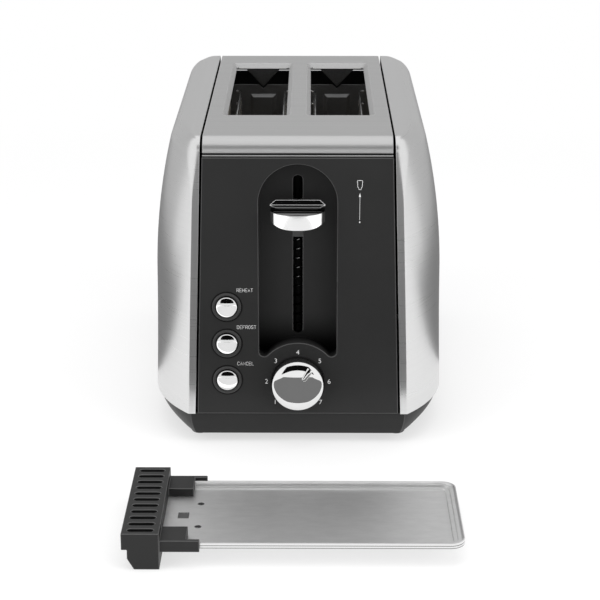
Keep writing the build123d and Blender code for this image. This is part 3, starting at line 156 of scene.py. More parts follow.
LEVER_ARCH = 3.0 * MM
LEVER_ARCH_POWER = 3.5
LEVER_ROUND = 0.6 * MM
LEVER_TOP_TILT = 0.7
LEVER_STEPS = 48
LEVER_ROUND_STEPS = 6
RIDGE_HEIGHT = 5.6 * MM
RIDGE_OVERHANG = 0.4 * MM
RIDGE_MITRE = 3.2 * MM
RIDGE_DEPTH = 4.6 * MM
RIDGE_UNDERCUT = 0.3 * MM
RIDGE_SLANT = 1.3 * MM
RIDGE_BEAD = 0.2 * MM
BEAD_STEPS = 10
RIDGE_NOSE = 2.6 * MM
RIDGE_SOLE = 4.4 * MM
RIDGE_NECK = 1.4 * MM

# The top cover's slot mouths, with painted light on the flare and painted shade in the throat, and the hem under its
# ends
MOUTH_START = 34.0 * MM
MOUTH_END = 17.0 * MM
THROAT_SHADE_DEPTH = 3.0 * MM
FLARE_LIGHT_TILT = 0.97
HEM_BEAD = 0.95 * MM
HEM_INSET = 0.3 * MM
HEM_GAP = 0.5 * MM
HEM_HEIGHT = 2.1 * MM
HEM_BACK = 1.2 * MM
HALF_TURN_STEPS = 12

# The front panel's recess, with painted shade deep in it, and the lever's slot with the spring behind it
# How deep behind the panel's front its painted edge highlights reach
EDGE_HIGHLIGHT_DEPTH = 2.0 * MM
RECESS_DEPTH = 12.0 * MM
RECESS_FOOT = 57.0 * MM
RECESS_SHADE_TOP = 84.0 * MM
RECESS_SHADE_START = 1.0 * MM
RECESS_SHADE = 0.001
SLOT_FOOT = 69.8 * MM
SLOT_EDGE = 4.0 * MM
SLOT_RIM = 1.0 * MM
# Painted shade on the spring: its steel glints above the head, and is painted near black below the foot
GLINT_FOOT = 94.0 * MM
GLINT_HEAD = 104.0 * MM
GLINT_START = 1.0 * MM
GLINT_SHADE = 0.002

# The crumb tray's rim, pressed holes and vents
POCKET_DEPTH = 2.5 * MM
LANCE_X = 21.5 * MM
LANCE_Y = 15.0 * MM
LANCE_RADIUS = 1.6 * MM
LANCE_RIM = 0.5 * MM
LANCE_LIFT = 0.06 * MM
LANCE_STEPS = 32
PLATE_SHEET = 0.6 * MM
PLATE_RIM = 3.5 * MM
WALL_TILT = 0.3
HANDLE_DEPTH = 20.0 * MM
VENT_MARGIN = 1.5 * MM
VENT_LIP = 0.5 * MM
WINDOW_X = 13.0 * MM
WINDOW_HALF = (3.1 * MM, 4.1 * MM)
RIM_START = 17.0 * MM
RIM_CORNER = 8.0 * MM
RIM_STEPS = 12
# Distances in from the edge and up from the plate's foot, round the rim's section, in millimetres
RIM_PROFILE = (
    (0.05, 2.7), (0.0, 3.1), (0.15, 3.42), (0.45, 3.5), (0.8, 3.4), (1.2, 3.0), (1.6, 2.45), (3.3, 2.35),
    (3.7, 1.5), (5.6, 1.4), (6.1, 0.72), (7.4, 0.62), (7.4, 0.3), (0.3, 0.3), (0.3, 2.7),
)
# Where the painted shade lines of the tray's fold wall and the bright bands between start, as shares of its height;
# a share of the bright finish
FOLD_SHADE_STOPS = ((0.0, 0.0), (0.14, 1.0), (0.42, 0.0), (0.52, 1.0), (0.88, 0.5))

# Edges that turn more than one angle are rounded, and faces within the other are joined
HARD_ANGLE = radians(30.0)
FLAT_ANGLE = radians(0.4)
# Solids that keep their own form but for rounded edges: how far they are rounded, and in how many steps
ROUNDED = (
    ("top_cover", 0.36 * MM, 3), ("front_panel", 0.5 * MM, 3), ("rear_panel", 0.4 * MM, 2),
    ("tray_handle", 0.35 * MM, 2), ("tray_plate", 0.15 * MM, 1), ("base", 0.4 * MM, 2), ("feet", 0.4 * MM, 2),
    ("carriage", 0.3 * MM, 2), ("cord_gland", 0.3 * MM, 2), ("rear_bulkhead", 0.35 * MM, 2),
)

# The lamps, in metres and watts
LAMP_AIM = (0, 0.05, 0.1)
SIDE_BOX_PLACE = (1.3, -0.9, 0.8)
SIDE_BOX_SIZE = (1.2, 1.4)
SIDE_BOX_POWER = 13
TOP_BOX_PLACE = (0.0, -0.1, 1.6)
TOP_BOX_SIZE = (1.6, 1.4)
TOP_BOX_POWER = 15
BOUNCE_AHEAD = 0.46
BOUNCE_HEIGHT = 0.024
BOUNCE_AIM = 1.0
BOUNCE_SIZE = (1.7, 0.9)
FRONT_BOUNCE_POWER = 3.9
DROP_BOUNCE_POWER = 1.4
FILL_AHEAD = 1.8
FILL_HEIGHT = 1.15
FILL_SIZE = (3.0, 1.44)
FILL_POWER = 4.0
WORLD_FILL = 0.55

# The floor, which turns plain white with distance
FLOOR_HALF = 4.0
FLOOR_Z = -0.3 * MM
FLOOR_GREY = 0.92
FLOOR_GLOW = (0.62, 1.0)
FLOOR_GLOW_START = 0.3
FLOOR_GLOW_END = 0.9

# Grey cards that the metal reflects: in front, behind, the apron under the front, and flags beside the body
FRONT_CARD_AHEAD = 1.86
FRONT_CARD_HALF = (1.5, 0.72)
FRONT_CARD_SHADE = 0.004
REAR_CARD_BEHIND = 1.94
REAR_CARD_HALF = (2.6, 0.9)
REAR_CARD_SHADE = 0.55
APRON_START = 0.0175
APRON_HALF = (0.45, 0.75)
APRON_HEIGHT = 0.023
APRON_SHADE = 0.2
APRON_STEPS = 96
FLAG_X = 0.45
FLAG_START = 0.26
FLAG_END = 1.9
FLAG_HEIGHT = 0.9
FLAG_SHADE = 0.54
FLOOR_FLAG_STARTS = (0.13, 0.15)
FLOOR_FLAG_INNER = 0.1
FLOOR_FLAG_Z = 1.0 * MM
FLOOR_FLAG_SHADE = 0.2

# The marks printed on the panel
INK_HEIGHT = 0.03 * MM
DIAL_NUMBERS = 7
NUMBER_HEIGHT = 3.0 * MM
NUMBER_RADIUS = 19.0 * MM
NUMBER_STEP = 44.5
NUMBER_THIN = 0.04 * MM
CAPITAL_SHARE = 0.72
WORDS = {"reheat": 9.6 * MM, "defrost": 11.4 * MM, "cancel": 9.9 * MM}
WORD_LEFT = -36.5 * MM
WORD_RISE = 9.4 * MM
WORD_HEIGHT = 2.1 * MM
WORD_STROKE = 0.16 * MM
LETTER_SHARE = 0.7

# The lever's lift mark: a slice over an arrow. The slice's outline is in millimetres.
MARK_X = 36.6 * MM
SLICE_OUTLINE = (
    (-0.65, 161.0), (-0.75, 162.0), (-1.3, 162.5), (-1.4, 165.2), (-1.66, 165.8), (-1.4, 166.4), (0, 166.6),
    (1.4, 166.4), (1.66, 165.8), (1.4, 165.2), (1.3, 162.5), (0.75, 162.0), (0.65, 161.0),
)
SLICE_STROKE = 0.24 * MM
SHAFT_FOOT = 142.6 * MM
SHAFT_TOP = 156.6 * MM
SHAFT_STROKE = 0.17 * MM
HEAD_HALF = 0.55 * MM
HEAD_HEIGHT = 2.2 * MM
SPOT_Z = 141.2 * MM
SPOT_RADIUS = 0.42 * MM
SPOT_STEPS = 16

# The finishes: the range that most of a noise lies in, and the depth of a grain
NOISE_LOW, NOISE_HIGH = 0.3, 0.7
GRAIN_DEPTH = 0.05 * MM

# Each letter's strokes, as points across and up its box
LETTERS = {
    "A": (((0, 0), (0.5, 1), (1, 0)), ((0.2, 0.35), (0.8, 0.35))),
    "C": (((1, 0.8), (0.7, 1), (0.3, 1), (0, 0.7), (0, 0.3), (0.3, 0), (0.7, 0), (1, 0.2)),),
    "D": (((0, 0), (0, 1), (0.6, 1), (1, 0.7), (1, 0.3), (0.6, 0), (0, 0)),),
    "E": (((1, 0), (0, 0), (0, 1), (1, 1)), ((0, 0.5), (0.85, 0.5))),
    "F": (((0, 0), (0, 1), (1, 1)), ((0, 0.5), (0.85, 0.5))),
    "H": (((0, 0), (0, 1)), ((1, 0), (1, 1)), ((0, 0.5), (1, 0.5))),
    "L": (((0, 1), (0, 0), (1, 0)),),
    "N": (((0, 0), (0, 1), (1, 0), (1, 1)),),
    "O": (((0.3, 0), (0, 0.3), (0, 0.7), (0.3, 1), (0.7, 1), (1, 0.7), (1, 0.3), (0.7, 0), (0.3, 0)),),
    "R": (((0, 0), (0, 1), (0.7, 1), (1, 0.85), (1, 0.65), (0.7, 0.48), (0, 0.48)), ((0.6, 0.48), (1, 0))),
    "S": ((
        (0, 0.15), (0.3, 0), (0.7, 0), (1, 0.25), (0.7, 0.48), (0.3, 0.52), (0, 0.75), (0.3, 1), (0.7, 1), (1, 0.85),
    ),),
    "T": (((0, 1), (1, 1)), ((0.5, 0), (0.5, 1))),
}


class Shader:
    """A material's node tree, with short ways to add and join nodes."""

    def __init__(self, name, material=None):
        self.material = material or bpy.data.materials.new(name)
        self.material.use_nodes = True
        self.tree = self.material.node_tree
        self.surface = self.tree.nodes["Principled BSDF"]
        self.points = self.add("ShaderNodeTexCoord").outputs["Object"]

    def add(self, kind, sockets=None, **values):
        """A new node, with its settings and its sockets' values."""
        made = self.tree.nodes.new(kind)
        for name, value in values.items():
            setattr(made, name, value)
        for name, value in (sockets or {}).items():
            made.inputs[name].default_value = value
        return made

    def join(self, output, socket):
        self.tree.links.new(output, socket)

    def set(self, **sockets):
        for name, value in sockets.items():
            self.surface.inputs[name.replace("_", " ")].default_value = value
        return self

    def noise(self, scale, detail=3.0, roughness=0.6, stretch=(1, 1, 1)):
        """Cloudy noise, in cells to the metre, drawn out along an axis where stretch is small."""
        mapping = self.add("ShaderNodeMapping", {"Scale": stretch})
        self.join(self.points, mapping.inputs["Vector"])
        noise = self.add("ShaderNodeTexNoise", {"Scale": scale, "Detail": detail, "Roughness": roughness})
        self.join(mapping.outputs["Vector"], noise.inputs["Vector"])
        return noise.outputs["Fac"]

    def span(self, fac, low, high, start=NOISE_LOW, end=NOISE_HIGH):
        """Maps a noise onto a range of numbers."""
        node = self.add("ShaderNodeMapRange", {"From Min": start, "From Max": end, "To Min": low, "To Max": high})
        self.join(fac, node.inputs["Value"])
        return node.outputs["Result"]

    def ramp(self, fac, stops):
        """Colours the surface by a share: stops are positions and colours."""
        ramp = self.add("ShaderNodeValToRGB")
        elements = ramp.color_ramp.elements
        while len(elements) < len(stops):
            elements.new(0.5)
        for element, (position, colour) in zip(elements, stops):
            element.position = position
            element.color = (*colour, 1)
        self.join(fac, ramp.inputs["Fac"])
        self.join(ramp.outputs["Color"], self.surface.inputs["Base Color"])
        return ramp.color_ramp

    def colour(self, fac, dark, light):
        self.ramp(fac, ((NOISE_LOW, dark), (NOISE_HIGH, light)))
        return self

    def rough(self, fac, low, high):
        self.join(self.span(fac, low, high), self.surface.inputs["Roughness"])
        return self

    def bump(self, fac, strength, depth):
        node = self.add("ShaderNodeBump", {"Strength": strength, "Distance": depth})
        self.join(fac, node.inputs["Height"])
        self.join(node.outputs["Normal"], self.surface.inputs["Normal"])
        return self

    def place(self, axis):
        """How far along an axis a point is."""
        split = self.add("ShaderNodeSeparateXYZ")
        self.join(self.points, split.inputs[0])
        return split.outputs[axis]

    def either(self, fac, first, second):
        """Shows one shader or another, by a share."""
        mix = self.add("ShaderNodeMixShader")
        for i, output in enumerate((fac, first, second)):
            self.join(output, mix.inputs[i])
        self.join(mix.outputs[0], self.tree.nodes["Material Output"].inputs["Surface"])


def grey(value):
    return (value, value, value)


def brushed(name, base, low, high, stretch, spread=0.06, depth=0.02 * MM):
    """Steel with fine streaks along the axis where stretch is small."""
    made = Shader(name).set(Metallic=1.0)
    fine = made.noise(1.0, detail=5.0, roughness=0.7, stretch=stretch)
    broad = made.noise(0.12, stretch=stretch)
    made.colour(broad, grey(base - spread), grey(base + spread))
    made.rough(fine, low, high)
    return made.bump(fine, strength=0.12, depth=depth).material


def folded(name, base, dark, foot, height):
    """Bright sheet with fine lines of painted shade, where a rolled edge's folds would shade it, at heights above a
    foot.
    """
    made = Shader(name).set(Metallic=1.0)
    share = made.span(made.place("Z"), 0.0, 1.0, start=foot, end=foot + height)
    stops = [(position, grey(dark + (base - dark) * bright)) for position, bright in FOLD_SHADE_STOPS]
    made.ramp(share, stops).interpolation = "CONSTANT"
    return made.rough(made.noise(900.0), 0.3, 0.4).material


def moulded(name, dark, light, low, high, grain=3200.0, strength=0.16, sheen=0.5):
    """Plastic with a fine moulded grain."""
    made = Shader(name).set(Specular_IOR_Level=sheen)
    cells = made.noise(grain, detail=2.0, roughness=0.5)
    clouds = made.noise(18.0, detail=4.0)
    made.colour(clouds, dark, light)
    made.rough(clouds, low, high)
    return made.bump(cells, strength, depth=GRAIN_DEPTH).material


def deepened(material, start, end, foot, head, deepest_shade):
    """Paints shade into a finish: darker and less glossy with depth behind the front and towards a foot, as shade
    falls in a deep recess.
    """
    made = Shader(material.name, material)
    both = made.add("ShaderNodeMath", operation="MULTIPLY")
    for i, (axis, low, high) in enumerate((("Y", start, end), ("Z", head, foot))):
        ends = {"From Min": low, "From Max": high}
        share = made.add("ShaderNodeMapRange", ends, interpolation_type="SMOOTHSTEP")
        made.join(made.place(axis), share.inputs["Value"])
        made.join(share.outputs["Result"], both.inputs[i])
    colour = made.surface.inputs["Base Color"]
    mix = made.add("ShaderNodeMix", {"B": (*grey(deepest_shade), 1)}, data_type="RGBA")
    made.join(both.outputs[0], mix.inputs["Factor"])
    made.join(colour.links[0].from_socket, mix.inputs["A"])
    made.join(mix.outputs["Result"], colour)
    sheen = made.surface.inputs["Specular IOR Level"]
    made.join(made.span(both.outputs[0], sheen.default_value, 0.0, start=0.0, end=1.0), sheen)


def plated(name, base, low, high, smear=60.0):
    """Bright plating, a little uneven as polishing leaves it."""
    made = Shader(name).set(Metallic=1.0)
    clouds = made.noise(smear, detail=4.0)
    made.colour(clouds, grey(base - 0.03), grey(base + 0.02))
    return made.rough(clouds, low, high).material


def mottled(name, dark, light, scale, low, high, metallic=0.0, strength=0.2):
    """A speckled finish, such as mica, aluminised sheet or lacquer."""
    made = Shader(name).set(Metallic=metallic)
    specks = made.noise(scale, detail=5.0, roughness=0.65)
    made.colour(specks, dark, light)
    made.rough(specks, low, high)
    return made.bump(specks, strength, depth=GRAIN_DEPTH).material


FINISHES = {
    "brushed_steel": brushed("brushed_steel", 0.73, 0.27, 0.3, (6, 6, 2400), spread=0.012, depth=0.002 * MM),
    "satin_steel": brushed("satin_steel", 0.6, 0.3, 0.38, (6, 1500, 1500), spread=0.02),
    "black_plastic": moulded("black_plastic", grey(0.012), grey(0.015), 0.42, 0.5, sheen=0.32),
    "panel_plastic": moulded("panel_plastic", grey(0.019), grey(0.0215), 0.46, 0.54, sheen=0.24),
    "tray_plastic": moulded("tray_plastic", grey(0.016), grey(0.019), 0.45, 0.55, sheen=0.28),
    "grey_plastic": moulded("grey_plastic", grey(0.16), grey(0.19), 0.4, 0.5),
    "rubber": moulded("rubber", grey(0.012), grey(0.016), 0.6, 0.75, grain=1800.0, strength=0.25),
    "zinc_steel": mottled("zinc_steel", (0.7, 0.71, 0.72), (0.78, 0.79, 0.8), 900.0, 0.3, 0.45, 0.75, 0.1),
    "wire_steel": plated("wire_steel", 0.66, 0.16, 0.26, 400.0),
    "oven_steel": mottled("oven_steel", grey(0.16), grey(0.22), 1500.0, 0.42, 0.55, 1.0, 0.18),
    "mica": mottled("mica", (0.34, 0.32, 0.28), (0.5, 0.47, 0.42), 420.0, 0.45, 0.65),
    "ribbon_alloy": mottled("ribbon_alloy", (0.3, 0.26, 0.24), (0.44, 0.4, 0.37), 1200.0, 0.35, 0.5, 1.0),
    "bright_chrome": plated("bright_chrome", 0.84, 0.03, 0.05),
    "board": mottled("board", (0.02, 0.14, 0.05), (0.04, 0.2, 0.08), 260.0, 0.3, 0.42),
    "copper": mottled("copper", (0.6, 0.3, 0.16), (0.74, 0.42, 0.26), 700.0, 0.25, 0.4, 1.0),
    "tray_steel": brushed("tray_steel", 0.75, 0.46, 0.54, (700, 1500, 1500), spread=0.03),
}
# Painted shade: the panel's plastic turns darker and less glossy deep in the lever's recess, towards its foot
deepened(
    FINISHES["panel_plastic"], FRONT_Y + RECESS_SHADE_START, FRONT_Y + RECESS_DEPTH,
    RECESS_FOOT, RECESS_SHADE_TOP, RECESS_SHADE,
)
# Painted highlights on the rounded edges of moulded plastic: a paler, glossier copy of each plastic
EDGES = {
    "panel_plastic": moulded("panel_edge_highlight", grey(0.05), grey(0.062), 0.26, 0.34, strength=0.05),
    "black_plastic": moulded("black_edge_highlight", grey(0.03), grey(0.038), 0.26, 0.34, strength=0.05),
    "tray_plastic": moulded("tray_edge_highlight", grey(0.06), grey(0.075), 0.26, 0.34, strength=0.05),
}
# Painted shade: dark lines along the tray plate's walls, as its folds' shadows
FOLD_SHADE_STEEL = folded("fold_shade_steel", 0.8, 0.12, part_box("tray_plate")[0].z, PLATE_RIM)
INK = moulded("white_ink", grey(0.82), grey(0.88), 0.5, 0.6, grain=5000.0, strength=0.05)
# Glossy black: the knob's barrel, and painted dark reflection on the lever ridge's lower faces
BLACK_GLOSS_AND_REFLECTION = moulded("black_gloss_and_reflection", grey(0.02), grey(0.026), 0.24, 0.32, grain=2600.0, strength=0.05)
# Painted shade: near black in the grooves round the hem, buttons and knob, and on the guide rod
PAINTED_SHADE_BLACK = moulded("painted_shade_black", grey(0.002), grey(0.003), 0.8, 0.9, grain=2600.0, strength=0.05)
# Painted shade and light in the top cover's slots: a darker throat, and a paler, rougher flare over it
SHADED_THROAT_STEEL = mottled("shaded_throat_steel", grey(0.1), grey(0.14), 1200.0, 0.35, 0.45, 1.0, 0.1)
LIT_FLARE_STEEL = mottled("lit_flare_steel", grey(0.36), grey(0.41), 900.0, 0.5, 0.6, 0.4, 0.05)
SOFT_CHROME = plated("soft_chrome", 0.84, 0.14, 0.18)
# Painted reflection: near-black chrome on the lever bar's top
DARK_REFLECTION_CHROME = plated("dark_reflection_chrome", 0.07, 0.05, 0.08)
BUTTON_CHROME = plated("button_chrome", 0.74, 0.05, 0.08)
# Painted shade: black inside the tray's lances and the handle's vents
POCKET_SHADE_BLACK = mottled("pocket_shade_black", grey(0.003), grey(0.006), 900.0, 0.5, 0.65)
# Near-black steel: the tray's rivets, and painted shade on the front bulkhead and inside the side covers
BLACK_STEEL_AND_SHADE = mottled("black_steel_and_shade", grey(0.035), grey(0.06), 900.0, 0.35, 0.5, 1.0)
SPRING_STEEL = brushed("spring_steel", 0.46, 0.2, 0.28, (900, 900, 900))
# Painted shade: the spring's steel turns near black behind the slot below the glints at its head
deepened(SPRING_STEEL, FRONT_Y, FRONT_Y + GLINT_START, GLINT_FOOT, GLINT_HEAD, GLINT_SHADE)


# Meshes
def placed(name, data):
    """A new object in the scene."""
    made = bpy.data.objects.new(name, data)
    bpy.context.scene.collection.objects.link(made)
    return made


def meshed(name, form, finish):
    """A new object from a bmesh."""
    mesh = bpy.data.meshes.new(name)
    form.to_mesh(mesh)
    form.free()
    mesh.materials.append(finish)
    return placed(name, mesh)


def piece(name, form, finish, body="chassis", sharp=35.0):
    """A new piece from a bmesh, smooth but for its sharp edges, riding on a body."""
    bmesh.ops.recalc_face_normals(form, faces=form.faces)
    made = meshed(name, form, finish)
    for face in made.data.polygons:
        face.use_smooth = True
    made.data.set_sharp_from_angle(angle=radians(sharp))
    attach(made, body)
    return made


def slot_of(node):
    return next(sub["material_slot"] for sub in frame["record"]["subparts"] if sub["node"] == node)


def stand_in(name, form, node, sharp=35.0, finish=None, slot=None):
    """A new piece that takes a solid's place on its body, in its slot and finish unless others are given."""
    slot = slot or slot_of(node)
    made = piece(name, form, finish or FINISHES[slot], nodes[node]["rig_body"], sharp)
    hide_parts(node)
    return made


def paint(made, finish, chosen):
    """Gives the faces that a test picks a finish of their own."""
    made.data.materials.append(finish)
    for face in made.data.polygons:
        if chosen(face):
            face.material_index = len(made.data.materials) - 1


def evenly(start, end, steps):
    """Values in even steps from start to end, both included."""
    return [start + (end - start) * i / steps for i in range(steps + 1)]


def circle(steps):
    return evenly(0.0, 2 * pi, steps)[:-1]


def rectangle(low, high):
    return [(low[0], low[1]), (high[0], low[1]), (high[0], high[1]), (low[0], high[1])]


def skin(form, rows, closed=False, looped=False):
    """Adds rows of points and the faces between: closed joins each row's ends, looped the last row and the first."""
    rows = [[form.verts.new(spot) for spot in row] for row in rows]
    for low, high in zip(rows, rows[1:] + rows[:1] if looped else rows[1:]):
        for i in range(len(low) if closed else len(low) - 1):
            k = (i + 1) % len(low)
            form.faces.new((low[i], low[k], high[k], high[i]))
    return rows


def solid(form, rows):
    """Adds a closed form through rings of points, with a face over the first and the last."""
    rings = skin(form, rows, closed=True)
    for end in (0, -1):
        form.faces.new(rings[end])


def rail(form, lines):
    """Adds a closed form along lines of points taken round its section, with a face over each end."""
    made = skin(form, lines, looped=True)
    for end in (0, -1):
        form.faces.new([line[end] for line in made])


def refined(node, bevel, segments):
    """A solid's own form with its hard edges rounded, in place of the solid; on moulded plastic the rounded edges
    get a painted highlight, kept on the panel to its front and round the lever's slot.
    """
    form = bmesh.new()
    form.from_mesh(nodes[node].data)
    bmesh.ops.remove_doubles(form, verts=form.verts, dist=WELD)
    bmesh.ops.dissolve_limit(form, angle_limit=FLAT_ANGLE, verts=form.verts, edges=form.edges)
    hard = [edge for edge in form.edges if len(edge.link_faces) == 2 and edge.calc_face_angle(0) > HARD_ANGLE]
    slot = slot_of(node)
    bmesh.ops.bevel(
        form, geom=hard, offset=bevel, offset_type="OFFSET", segments=segments, profile=0.5,
        affect="EDGES", clamp_overlap=False, material=1 if slot in EDGES else -1,
    )
    made = stand_in(f"{node}_form", form, node, sharp=40.0)
    if slot in EDGES:
        made.data.materials.append(EDGES[slot])
        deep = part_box(node)[0].y + EDGE_HIGHLIGHT_DEPTH
        recess = FRONT_Y + RECESS_DEPTH
        for face in made.data.polygons:
            spot = face.center
            at_slot = abs(spot.x) < SLOT_EDGE and spot.z > SLOT_FOOT and abs(spot.y - recess) < SLOT_RIM
            if slot == "panel_plastic" and spot.y > deep and not at_slot:
                face.material_index = 0
    made.modifiers.new("even_normals", "WEIGHTED_NORMAL").keep_sharp = True
    return made


def slot_mouths(made):
    """Gives the top cover's slots a mouth painted pale on the flare, as light caught there, over a throat painted
    dark as shade.
    """
    def in_mouth(face):
        return FRONT_Y + MOUTH_START < face.center.y < REAR_Y - MOUTH_END

    paint(made, LIT_FLARE_STEEL, lambda face: in_mouth(face) and face.normal.z < FLARE_LIGHT_TILT)
    paint(made, SHADED_THROAT_STEEL, lambda face: in_mouth(face) and face.center.z < BODY_TOP - THROAT_SHADE_DEPTH)


def lathe(profile, centre, steps=96, upright=False):
    """A bmesh turned about a line along Y, or Z where upright: profile is (radius, way along) outwards and back."""
    form = bmesh.new()
    rings = []
    for radius, way in profile:
        turns = circle(steps) if radius > FINE_WELD else [0.0]
        spots = [(centre[0] + radius * cos(t), centre[1] + radius * sin(t)) for t in turns]
        rings.append([form.verts.new((u, v, way) if upright else (u, way, v)) for u, v in spots])
    for low, high in zip(rings, rings[1:]):
        for i in range(steps):
            corners = [low[i % len(low)], low[(i + 1) % len(low)], high[(i + 1) % len(high)], high[i % len(high)]]
            corners = list(dict.fromkeys(corners))
            if len(corners) > 2:
                form.faces.new(corners)
    return form


# The side covers
def seam_x(z):
    return SEAM_TOP + SEAM_FLARE * (BODY_TOP - z) / (BODY_TOP - BASE_TOP)


def cover_rows():
    """Heights and half widths up the side: a slight flare at the foot, a bow, then a round shoulder."""
    shoulder_z = BODY_TOP - SHOULDER_RADIUS
    bow_top = shoulder_z + SHOULDER_RADIUS * sin(SIDE_LEAN)
    bow_foot = bow_top - BOW_RADIUS * sin(SIDE_LEAN)
    rows = [(BASE_TOP - COVER_LAP, FOOT_HALF_WIDTH)]
    for share in evenly(0.0, 1.0, FLARE_STEPS)[:-1]:
        flare = FOOT_FLARE * (1 - share) ** FLARE_POWER
        rows.append((BASE_TOP + (bow_foot - BASE_TOP) * share, HALF_WIDTH + flare))
    for turn in evenly(0.0, SIDE_LEAN, BOW_STEPS)[:-1]:
        rows.append((bow_foot + BOW_RADIUS * sin(turn), HALF_WIDTH - BOW_RADIUS * (1 - cos(turn))))
    for turn in evenly(SIDE_LEAN, pi / 2, SHOULDER_STEPS):
        rows.append((shoulder_z + SHOULDER_RADIUS * sin(turn), SHOULDER_X + SHOULDER_RADIUS * cos(turn)))
    return rows


def cover_corner(half_width, crease, reach, setback, steps):
    """The curve from a crease to the straight side: points (x, distance from the end)."""
    fall = half_width - crease
    radius = (reach**2 + fall**2) / (2 * fall)
    start = asin((reach - setback) / radius)
    ways = [radius * sin(turn) for turn in evenly(start, 0.0, steps)]
    return [(half_width - radius + sqrt(radius**2 - way**2), reach - way) for way in ways]


def crease_round(z):
    """How far the crease is rounded: a tight fold that opens out towards the top."""
    share = min(1.0, max(0.0, (z - CREASE_FADE) / (BODY_TOP - CREASE_FADE)))
    return CREASE_ROUND + (CREASE_OPEN - CREASE_ROUND) * share


def eased(inner, setback, corner, reach):
    """The flat strip and the corner's curve, with the crease between them rounded."""
    crease = Vector(corner[0])
    lip = inner + SEAM_LIP
    start = crease - Vector((min(reach, (crease.x - lip) * CREASE_LIMIT), 0))
    reach *= 1 + CREASE_SPREAD * (reach - CREASE_ROUND) / (CREASE_OPEN - CREASE_ROUND)
    end = Vector(corner[-1])
    length = 0.0
    later = []
    for before, after in zip(corner, corner[1:]):
        step = Vector(after) - Vector(before)
        if length < reach <= length + step.length:
            end = Vector(before) + step * ((reach - length) / step.length)
        length += step.length
        later.append(length)
    shares = evenly(0.0, 1.0, CREASE_STEPS)
    turn = [tuple((1 - t) ** 2 * start + 2 * t * (1 - t) * crease + t**2 * end) for t in shares]
    turns = evenly(0.0, pi / 2, LIP_STEPS)[:-1]
    flat = [(lip - SEAM_LIP * cos(t), setback + SEAM_LIP * (1 - sin(t))) for t in turns]
    flat += [(x, setback) for x in evenly(lip, start.x, STRIP_STEPS)[:-1]]
    rest = [p if way > reach * CREASE_CLEAR else tuple(end) for p, way in zip(corner[1:], later)]
    return flat + turn + rest


def cover_outline(z, half_width):
    """One level line round the right cover, from its front seam to its rear seam."""
    rise = max(0.0, z - (BODY_TOP - TOP_BEND))
    setback = TOP_BEND - sqrt(max(0.0, TOP_BEND**2 - rise**2))
    seam = seam_x(z)
    inner = seam + SEAM_GAP / 2
    rear_strip = STRIP_WIDTH + REAR_STRIP_SHARE * (half_width - seam - STRIP_WIDTH)
    ends = []
    for strip, reach, steps in (
        (STRIP_WIDTH, CORNER_REACH, FRONT_CORNER_STEPS), (rear_strip, REAR_CORNER_REACH, REAR_CORNER_STEPS),
    ):
        corner = cover_corner(half_width, seam + strip, reach, setback, steps)
        ends.append(eased(inner, setback, corner, crease_round(z)))
    front, rear = ends
    ways = evenly(FRONT_Y + CORNER_REACH, REAR_Y - REAR_CORNER_REACH, SIDE_STEPS)
    straight = [(half_width, y) for y in ways[1:-1]]
    ahead = [(x, FRONT_Y + y) for x, y in front]
    behind = [(x, REAR_Y - y) for x, y in reversed(rear)]
    return ahead + straight + behind


def side_cover(name, side):
    """Bowed sheet, with a rounded crease along each end and its edge turned at the seams."""
    form = bmesh.new()
    rows = [[(side * x, y, z) for x, y in cover_outline(z, half_width)] for z, half_width in cover_rows()]
    form.faces.new(skin(form, rows)[-1])
    bmesh.ops.remove_doubles(form, verts=form.verts, dist=WELD)
    bmesh.ops.recalc_face_normals(form, faces=form.faces)
    made = stand_in(f"{name}_cover_sheet", form, f"{name}_side_cover", sharp=50.0)
    # The sheet's inside is painted near black, as shade
    made.data.materials.append(BLACK_STEEL_AND_SHADE)
    sheet = made.modifiers.new("sheet", "SOLIDIFY")
    sheet.thickness = COVER_SHEET
    sheet.offset = -1.0
    sheet.use_even_offset = True
    sheet.material_offset = 1
    return made


def top_hem():
    """Along each end of the top cover, a rounded bead under a groove painted black as shade."""
    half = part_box("top_cover")[1].x
    radius = HEM_BEAD / 2
    turns = evenly(0.0, pi, HALF_TURN_STEPS)
    hems = []
    for name, face, inward in (("front", FRONT_Y, 1), ("rear", REAR_Y, -1)):
        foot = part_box(f"{name}_panel")[1].z + HEM_GAP
        profile = [(HEM_INSET + radius * (1 - sin(t)), foot + radius * (1 - cos(t))) for t in turns]
        profile += [(HEM_INSET + radius, foot + HEM_HEIGHT), (HEM_BACK, foot + HEM_HEIGHT), (HEM_BACK, foot)]
        form = bmesh.new()
        rail(form, [[(x, face + inward * depth, z) for x in (-half, half)] for depth, z in profile])
        hem = piece(f"{name}_hem", form, FINISHES["satin_steel"], sharp=60.0)
        # Painted shade: the faces above the bead are near black
        paint(hem, PAINTED_SHADE_BLACK, lambda plane: plane.center.z > foot + HEM_BEAD)
        hems.append(hem)
    return hems


# Knob, buttons and lever
def knob_face(radius):
    """How far the knob's face lies behind its middle at a radius: a shallow dome, then a rolled rim."""
    if radius < KNOB_DOME_RADIUS:
        return KNOB_SPHERE - sqrt(KNOB_SPHERE**2 - radius**2)
    turn = asin(min(1.0, sin(KNOB_TILT) + (radius - KNOB_DOME_RADIUS) / KNOB_ROLL))
    return KNOB_SPHERE * (1 - cos(KNOB_TILT)) + KNOB_ROLL * (cos(KNOB_TILT) - cos(turn))


